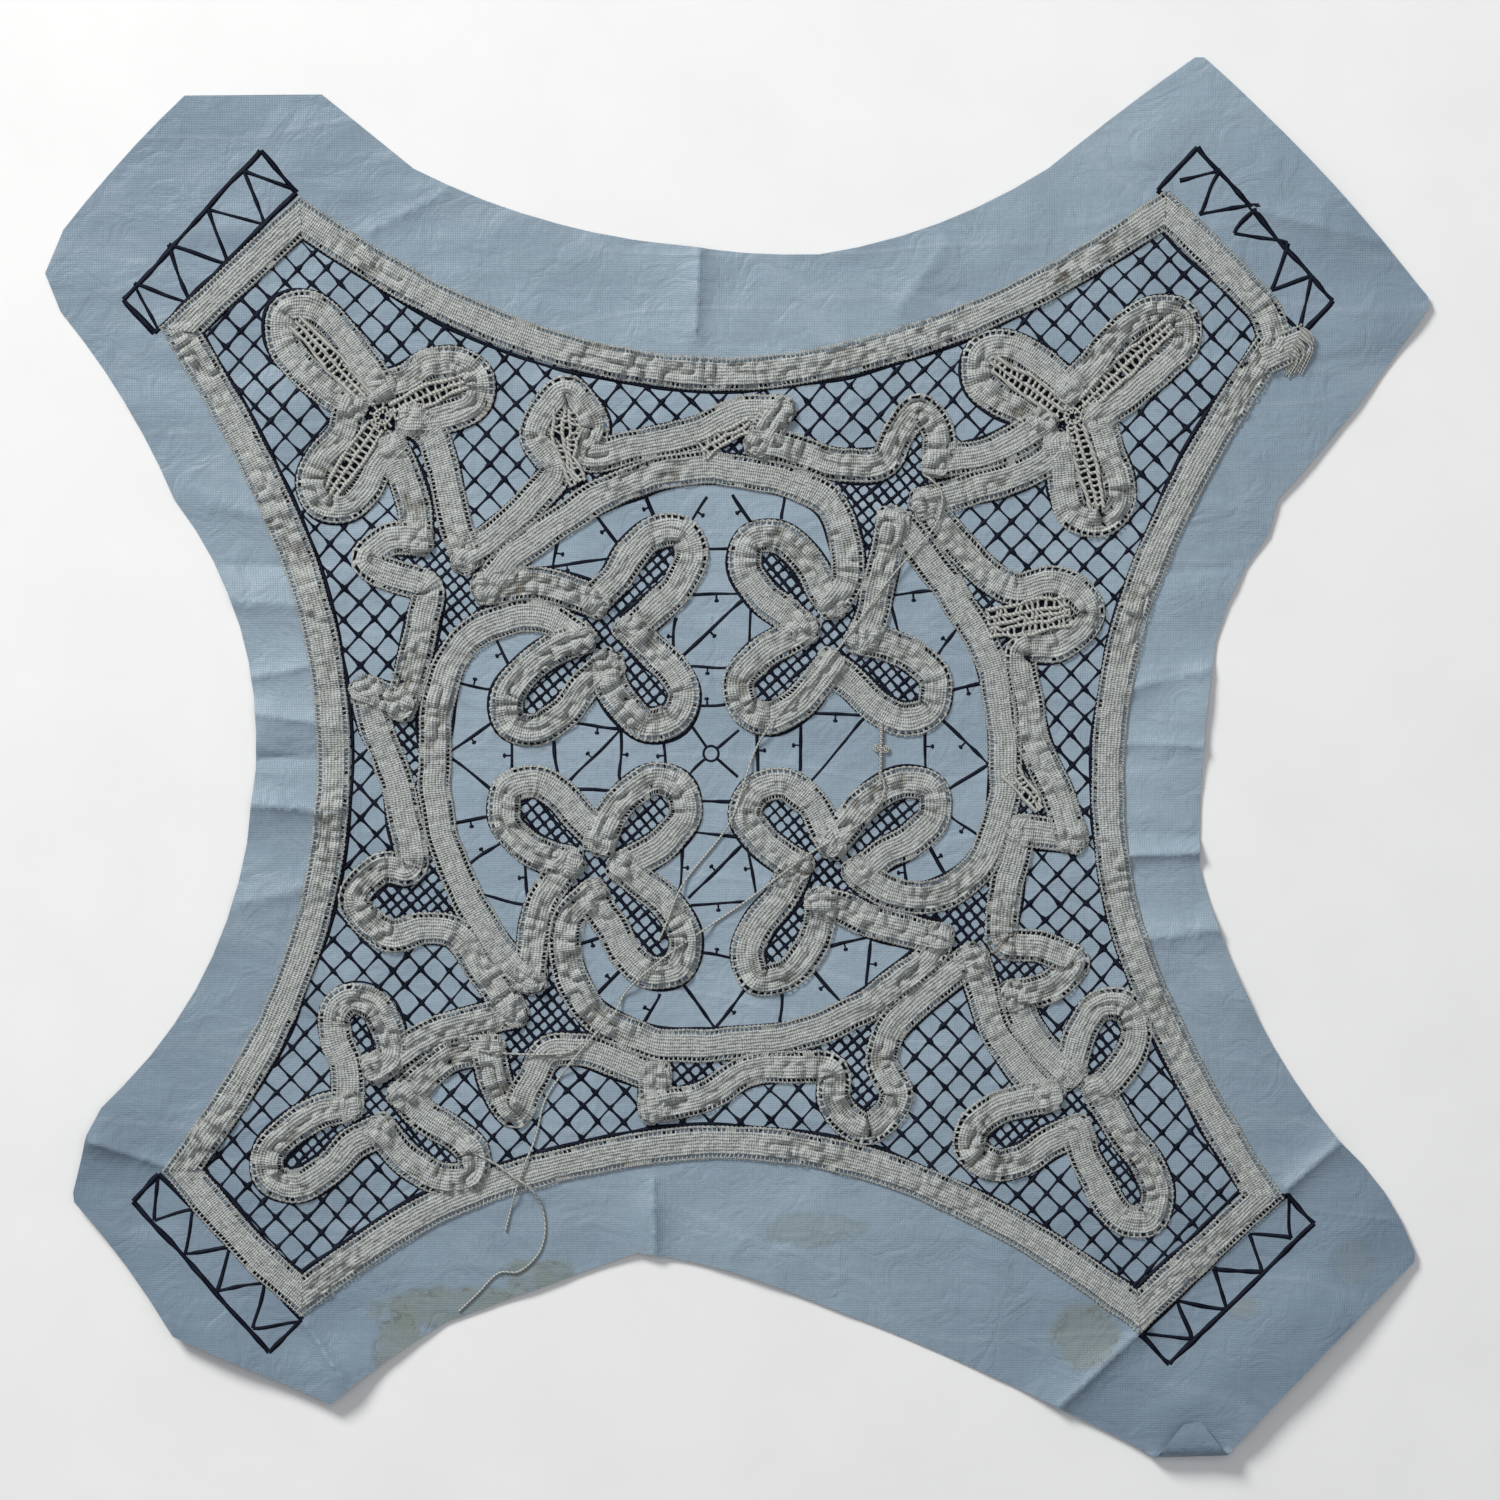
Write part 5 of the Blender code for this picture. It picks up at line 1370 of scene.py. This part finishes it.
def make_border(finish):
    """The border tape: eight sides that meet in folded mitres, and the cut end that laps over its start."""
    tape = Tape("border_woven_tape")
    sides = border_sides()
    for k, line in enumerate(sides):
        opening = math.tan(turn_between(sides[k - 1], line) / 2)
        closing = math.tan(turn_between(line, sides[(k + 1) % len(sides)]) / 2)
        length = in_ladder_steps(line)[1][-1]
        tape.lay(
            line,
            lambda offsets: offsets * opening,
            lambda offsets: length - offsets * closing,
            folds=(False, False),
        )
    start = (LAP["inner start"] + LAP["outer start"]) / 2
    end = (LAP["end corner"] + LAP["lower selvedge"]) / 2
    way = heading(start, end)
    left_end = (LAP["end corner"] - start) @ way
    right_end = (LAP["lower selvedge"] - start) @ way
    tape.lay(
        smooth([start, end]),
        lambda offsets: 0 * offsets,
        lambda offsets: (left_end + right_end) / 2 + offsets / TAPE_HALF * (left_end - right_end) / 2,
        folds=(False, False),
        lift=LAP_LIFT,
    )
    return tape.piece(finish, "border_tape")


# The pen's drawing on the sheet


def pen_line(kind, start, end, seed):
    """A line drawn by hand from start to end: each point with the pen's width there."""
    width, wobble, step = PENS[kind]
    start, end = np.array(start, float), np.array(end, float)
    length = np.linalg.norm(end - start)
    way = (end - start) / max(length, 1e-9)
    share = np.linspace(0, 1, max(3, round(length / step) + 1))
    along = share * length
    drift = wobble * rough(along, seed * 3.7, 11.0, seed) * np.sin(np.pi * share) ** 0.3
    spot = start + along[:, None] * way + drift[:, None] * left_of(way)
    thickness = width * (1 + 0.38 * rough(along, seed * 5.1, 3.5, seed + 0.3))
    return np.column_stack([spot, np.zeros(len(spot)), thickness])


def pen_piece(name, lines, finish):
    """Ink lines on the sheet: a flat film that follows its relief."""
    drawn = made_mesh(thread_piece(name, lines, 0.5, 0))
    points = np.empty(len(drawn.data.vertices) * 3)
    drawn.data.vertices.foreach_get("co", points)
    points = points.reshape(-1, 3)
    spot = points[:, :2] / MM + BOX_CENTRE
    points[:, 2] = (ground(spot) + INK_LIFT) * MM + points[:, 2] * INK_FLATNESS
    drawn.data.vertices.foreach_set("co", points.ravel())
    drawn.data.update()
    return finished(drawn, finish, "sheet")


def pen_grid(name, bearings, apart, width, wobble, step, wanted, finish):
    """Two families of pen lines over the ground where they are wanted."""
    lines = []
    steps = np.arange(-GRID_REACH, GRID_REACH, step)
    most = int(GRID_REACH / apart)
    for family, bearing in enumerate(bearings):
        along, across = toward(bearing, 1.0), toward(bearing + 90, 1.0)
        other = toward(bearings[1 - family] + 90, 1.0)
        for number in range(-most, most + 1):
            seed = number * 0.37 + family * 11.3
            off = number * apart + 0.35 * wobble * rough(number * 5.0, family, 1.7)
            drift = rough(steps, seed * 3.7, 26.0, seed) + 0.4 * rough(steps, seed * 2.3, 6.0, seed)
            spots = steps[:, None] * along + (off + wobble * drift)[:, None] * across
            thickness = width * (1 + 0.4 * rough(steps, seed, 4.0, seed + 0.5))
            crossing = np.abs((spots @ other / apart + 0.5) % 1 - 0.5) * apart
            thickness = thickness * (1 + 1.2 * np.clip(1 - crossing / 1.5, 0, 1))
            line = np.column_stack([spots, np.zeros(len(spots)), thickness])
            held = wanted(spots)
            cuts = np.flatnonzero(held[1:] != held[:-1]) + 1
            runs = zip(np.split(line, cuts), np.split(held, cuts))
            lines += [run for run, keep in runs if keep[0] and len(run) > 2]
    return pen_piece(name, lines, finish)


def outline_strokes():
    """The drawn outlines beside the tapes, which show wherever a tape has shifted off them."""
    lines = []
    runs = [*runs_of(ring_marks()), *runs_of(scroll_marks())]
    border = border_line()
    for number, run in enumerate([*runs, *border_sides()]):
        at_border = number >= len(runs)
        path, along = evenly(run, OUTLINE_STEP)
        way = ways_along(path)
        bend = np.gradient(np.unwrap(np.arctan2(way[:, 1], way[:, 0])), along)
        thickness = 0.9 * (1 + 0.45 * rough(along, number, 7.0, 0.6)) * (1.3 if at_border else 1)
        for hand in (-1, 1):
            inner = np.minimum(TAPE_HALF, 0.8 / np.maximum(np.abs(bend), 1e-6))
            reach = np.where(hand * bend > 0, inner, TAPE_HALF) - 0.25 + (0.45 if at_border else 0)
            reach = reach + 0.8 * rough(along, number * 4.1 + hand, 17.0, number * 0.3)
            spot = path + hand * reach[:, None] * left_of(way)
            if at_border and not inside(spot[len(spot) // 2 :][:1], [border])[0]:
                continue
            lines.append(np.column_stack([spot, np.zeros(len(spot)), thickness]))
    return lines


def bar_strokes():
    """The bars drawn across the ring, most with a picot, and the small wheel at its middle."""
    lines = []
    for number, (*start, end_x, end_y) in enumerate(DRAWN_BARS):
        start, end = np.array(start), np.array([end_x, end_y])
        way = heading(start, end)
        overrun = BAR_OVERRUN * way
        lines.append(pen_line("bar", start - overrun, end + overrun, number * 0.7 + 2))
        if number % 4 == 3:
            continue
        side = left_of(way) * (1 if number % 2 else -1)
        foot = (start + end) / 2
        tip, knot = foot + side * DRAWN_PICOT, side * 0.45
        lines.append(pen_line("picot", foot, tip, number))
        lines.append([(*(tip - knot), 0, 0.8), (*tip, 0, 1.5), (*(tip + knot), 0, 0.8)])
    x, y, radius = DRAWN_RING
    turns = np.linspace(0, 2 * math.pi, 19)
    lines.append([(x + radius * math.cos(turn), y + radius * math.sin(turn), 0, 0.7) for turn in turns])
    for number, spoke in enumerate(DRAWN_SPOKES):
        start = (x, y) + heading((x, y), spoke) * radius
        lines.append(pen_line("spoke", start, spoke, number + 40))
    return lines


def box_strokes():
    """The boxes beside the border's short sides, each with its zigzag."""
    lines = []
    for number, (_, box, zigzag) in enumerate(BOXES):
        for kind, points, shift in (("box", [*box, box[0]], 0), ("zigzag", zigzag, 0.5)):
            for k, (start, end) in enumerate(zip(points, points[1:])):
                lines.append(pen_line(kind, start, end, number * 9 + k + shift))
    return lines


def make_drawing(finish):
    border = border_line()
    scroll, ring = route_outline(scroll_marks()), route_outline(ring_marks())
    places = [place for name in FLOWER_FILLINGS for place in flower_places(name)]
    places += [place for row in SLIT_FILLINGS for place in places_along(*slit_line(row))]

    def open_ground(spots):
        return inside(spots, [border]) & ~inside(spots, [scroll])

    def close_ground(spots):
        return inside(spots, [scroll]) & ~inside(spots, [ring])

    # Ink under the needle nets, drawn dense so that their holes read dark: partly ink, partly painted
    # shade.
    def worked_ground_and_shade(spots):
        near = [np.linalg.norm(spots - (x, y), axis=1) < reach for x, y, reach in places]
        return close_ground(spots) & np.any(near, axis=0)

    for (name, *grid), wanted in zip(GRIDS, (open_ground, close_ground, worked_ground_and_shade)):
        pen_grid("ink_" + name, *grid, wanted, finish)
    pen_piece("ink_outlines", outline_strokes(), finish)
    pen_piece("ink_bars", bar_strokes(), finish)
    pen_piece("ink_boxes", box_strokes(), finish)


# Needle work


def threaded(line, height, thickness):
    """A thread along the flat line, at that height over the sheet and with that thickness."""
    line = np.asarray(line, float)
    return np.column_stack([line, ground(line) + height, np.broadcast_to(thickness, len(line))])


def round_of(middle, reach, count):
    """A closed round of points about the middle."""
    return [np.array(middle) + toward(360 * k / count, reach) for k in range(count + 1)]


def needle_work(name, lines, radius, finish, stands_for):
    """Threads along the lines, as one finished mesh."""
    work = made_mesh(thread_piece(name, lines, radius, 1))
    return finished(work, finish, "thread", stands_for)


def bridge_lines(middle, gaps, seed, slack, ribs_within=None, rim_swell=1.0):
    """A net along a slit: ribs of thread down it, with bridges between them and to the tape beside."""
    path, along = evenly(np.asarray(middle, float), BRIDGE_PITCH / 2)
    way = ways_along(path)
    half = np.interp(along, np.linspace(0, along[-1], len(gaps)), gaps) / 2
    count = ribs_within or max(1, round(max(gaps) / RIB_PITCH) - 1)
    places = [-1.0, *(np.arange(1, count + 1) * 2 / (count + 1) - 1), 1.0]
    ribs, lines = [], []
    for number, place in enumerate(places):
        rim = abs(place) == 1
        shift = slack * rough(along, seed + 2.7 * number, 2.6, seed)
        slip = slack * rough(along, seed + 1.9 * number, 1.9, seed + 1)
        reach = (half + RIM_OUT * rim) * place + shift
        ribs.append(path + left_of(way) * reach[:, None] + way * slip[:, None])
        swell = 1 + 0.35 * rough(along, seed + 3.1 * number, 1.5, seed)
        height, swell = (RIM_HEIGHT, swell * rim_swell) if rim else (NET_HEIGHT, swell * 1.45)
        lines.append(threaded(ribs[-1], height, swell))
    for number, (rib, other) in enumerate(zip(ribs, ribs[1:])):
        for k in range(number % 2, len(path) - 1, 2):
            if slack > 0.5 and rough(k * 2.3, seed - number, 0.9) > 0.55:
                continue
            lean = (0.4 + slack) * rough(k * 3.0, seed + number, 1.3)
            start, foot = rib[k], other[k] + way[k] * lean
            bow = (start + foot) / 2 + way[k] * 0.3 * rough(k * 2.0, seed + number + 1, 1.1)
            thickness = [1.5, 1.0 + 0.4 * rough(k * 1.3, seed, 1.0), 1.5]
            lines.append(threaded([start, bow, foot], NET_HEIGHT, thickness))
    return lines


def heart_lines(heart, seed):
    """A small net over a flower's heart: spokes, and a round of thread."""
    lines = []
    for k in range(HEART_SPOKES):
        bearing = 360 * k / HEART_SPOKES + 12 * rough(k * 3.0, seed, 1.0)
        spoke = [heart + toward(bearing, reach) for reach in (0.9, 2.2, 3.9)]
        lines.append(threaded(spoke, 0.7, [1.0, 0.9, 1.1]))
    turns = []
    for k in range(17):
        reach = HEART_ROUND * (1 + 0.25 * rough(k * 1.9, seed + HEART_ROUND, 1.0))
        turns.append(heart + toward(360 * k / 16, reach))
    lines.append(threaded(turns, 0.8, 1.1))
    return lines


def flower_slits(quarter_name):
    """A corner flower's heart, then the middle line and widths of each petal's slit."""
    quarter = QUARTERS.index(quarter_name)
    heart = placed(flower_row("scroll", quarter)[0][:2], quarter)
    slits = []
    for petal in range(3):
        loop = [mark[0] for mark in scroll_marks() if mark[2:] == (quarter, petal)]
        sides = list(zip(loop[:3], reversed(loop[4:])))
        middles = [heart + (loop[3] - heart) * 0.1, *((a + b) / 2 for a, b in sides)]
        middles.append(middles[-1] + (loop[3] - middles[-1]) * 0.15)
        widths = (np.clip(np.linalg.norm(a - b) - 2 * TAPE_HALF, 2.6, 4.6) for a, b in sides)
        slits.append((smooth(middles), [3.2, *widths, 2.4]))
    return heart, slits


def slit_line(row):
    """The middle line of a slit filling, and its widths."""
    _, side, points = row
    turned = [placed(point[:2], SIDE_NAMES.index(side)) for point in points]
    return smooth(turned), [point[2] for point in points]


def places_along(middle, gaps):
    """Round places down a slit, each as wide as the slit is there."""
    path, along = evenly(np.asarray(middle, float), BRIDGE_PITCH / 2)
    reaches = np.interp(along, np.linspace(0, along[-1], len(gaps)), gaps) / 2 + 1.2
    return [(*spot, reach) for spot, reach in zip(path, reaches)]


def flower_places(quarter_name):
    heart, slits = flower_slits(quarter_name)
    return [(*heart, HEART_REACH), *(place for slit in slits for place in places_along(*slit))]


def make_fillings(finish):
    for number, quarter_name in enumerate(FLOWER_FILLINGS):
        heart, slits = flower_slits(quarter_name)
        lines = heart_lines(heart, 5.0 + number)
        for petal, (middle, gaps) in enumerate(slits):
            lines += bridge_lines(middle, gaps, 1.0 + petal + 4 * number, 0.3, 1, 1.6)
        name = quarter_name.replace("-", "_")
        needle_work("needle_net_" + name, lines, NET_THREAD, finish, "filling_" + name)
    for number, row in enumerate(SLIT_FILLINGS):
        lines = bridge_lines(*slit_line(row), 20.0 + number, 0.7, None, 1.4)
        needle_work("needle_net_" + row[0], lines, NET_THREAD, finish, "filling_" + row[0])


def make_bar(finish):
    """The worked bar: a core wrapped turn by turn, with a picot loop on each side."""
    start, end = (np.array(p) for p in BAR_LINE)
    way = heading(start, end)
    length = math.dist(start, end)
    turns = np.arange(0, length, BAR_TURN / 6)
    angle = turns / BAR_TURN * 2 * math.pi
    wrap = start + turns[:, None] * way + (BAR_HALF * np.cos(angle))[:, None] * left_of(way)
    core = [start + way * length * k / 12 for k in range(13)]
    lines = [threaded(wrap, BAR_HEIGHT + BAR_ROUND * np.sin(angle), 0.9), threaded(core, BAR_HEIGHT, 1.5)]
    for picot in PICOTS:
        lines.append(threaded(round_of(picot, 0.95, 12), BAR_HEIGHT, 0.9))
        lines.append(threaded(round_of(picot, 0.45, 6), 0.9, 0.9))
    needle_work("wrapped_bar", lines, FINE_THREAD, finish, "worked_bar")


def make_fray(finish):
    """The threads frayed out of the border tape's cut end: out of it square, then down beside it."""
    start, end = LAP["end corner"], LAP["lower selvedge"]
    outward = left_of(heading(start, end))
    lines = []
    for k in range(FRAYED_THREADS):
        share = (k + 0.5) / FRAYED_THREADS
        strayed = np.array([rough(k * 2.0, 3.0, 1.0), rough(k * 3.0, 8.0, 1.0)])
        root = start + (end - start) * share - outward * 1.2
        elbow = FRAY_ELBOWS[0] * (1 - share) + FRAY_ELBOWS[1] * share + 0.7 * strayed
        tip = FRAY_TIPS[0] * (1 - share) + FRAY_TIPS[1] * share + 1.3 * strayed
        before_tip = elbow * 0.4 + tip * 0.6 + 0.3 * strayed
        line = smooth([root, root + outward * 1.3, elbow, before_tip, tip])[::3]
        fallen = np.linspace(0, 1, len(line))
        height = 1.7 - 1.3 * np.clip(fallen * 1.3 - 0.2, 0, 1) + 0.3 * rough(k * 2.0, 1.0, 1.0)
        lines.append(threaded(line, height, 1 - 0.3 * fallen))
    needle_work("frayed_tape_end", lines, FRAYED_THREAD, finish, "border_fray")


def make_threads(finish):
    """The loose ends of thread, each lying over the tapes that it crosses."""
    marks = ring_marks() + scroll_marks()
    routes = [*runs_of(ring_marks()), *runs_of(scroll_marks()), *border_sides()]
    tapes = np.concatenate([route[::2] for route in routes])
    folds = np.array([mark[0] for mark in marks if mark[1]])

    def nearest(point, others):
        return np.linalg.norm(others - point, axis=1).min()

    for name, route in THREADS:
        line, _ = evenly(smooth([point[:2] for point in route]), 1.0)
        ends = np.linspace(0, 1, len(route))
        lifts = np.interp(np.linspace(0, 1, len(line)), ends, [sum(point[2:]) for point in route])
        near = np.array([nearest(point, tapes) for point in line])
        lump = np.exp(-((np.array([nearest(point, folds) for point in line]) / LUMP_SPREAD) ** 2))
        over = TAPE_LIFT + 1.05 + LUMP_RISE * lump
        rest = ground(line) + np.where(near < TAPE_HALF + 0.4, over, 0.1)
        highest = np.array([rest[max(0, k - 2) : k + 3].max() for k in range(len(rest))])
        path = np.column_stack([line, blurred(highest, 2) + THREAD_RADIUS + lifts])
        drawn = thread_piece("loose_" + name, [path], THREAD_RADIUS)
        finished(drawn, finish, "thread", name)
        spots = in_frame(path)


# Camera, light and table


def make_camera():
    data = bpy.data.cameras.new("camera")
    data.lens = LENS
    data.sensor_width = FILM
    camera = linked("camera", data)
    x, y, _ = in_frame([(*VIEW_CENTRE, 0.0)])[0]
    camera.location = (x, y, VIEW_SIDE * MM * LENS / FILM)
    bpy.context.scene.camera = camera


def area_light(name, place, size, power, colour):
    data = bpy.data.lights.new(name, "AREA")
    data.shape = "DISK"
    data.size = size
    data.energy = power
    data.color = colour
    light = linked(name, data)
    light.location = place
    light.rotation_euler = (-light.location).to_track_quat("-Z", "Y").to_euler()


def make_light():
    for row in LIGHTS:
        area_light(*row)
    world = bpy.data.worlds.new("studio")
    bpy.context.scene.world = world
    world.use_nodes = True
    background = world.node_tree.nodes["Background"]
    background.inputs["Color"].default_value = ROOM_COLOUR
    background.inputs["Strength"].default_value = ROOM_LIGHT
    bpy.context.scene.view_settings.view_transform = "Standard"


def make_table():
    bpy.ops.object.select_all(action="DESELECT")
    bpy.ops.mesh.primitive_plane_add(size=TABLE_SIDE, location=(0, 0, -TABLE_DROP))
    top = bpy.context.view_layer.objects.active
    top.name = "table_top"
    finish = Finish("pale table", 0.9)
    finish.coloured(finish.ramp(finish.noise(finish.place, 30.0), *TABLE_TONES))
    top.data.materials.append(finish.made)


make_camera()
thread = spun_thread()
make_threads(thread)
make_sheet(glazed_cloth())
tape = woven_tape()
make_border(tape)
laid_tape("ring_woven_tape", ring_marks(), tape, "ring_tape")
laid_tape("scroll_woven_tape", scroll_marks(), tape, "scroll_tape")
make_fillings(thread)
make_bar(thread)
make_fray(thread)
make_drawing(pen_ink())
make_light()
make_table()
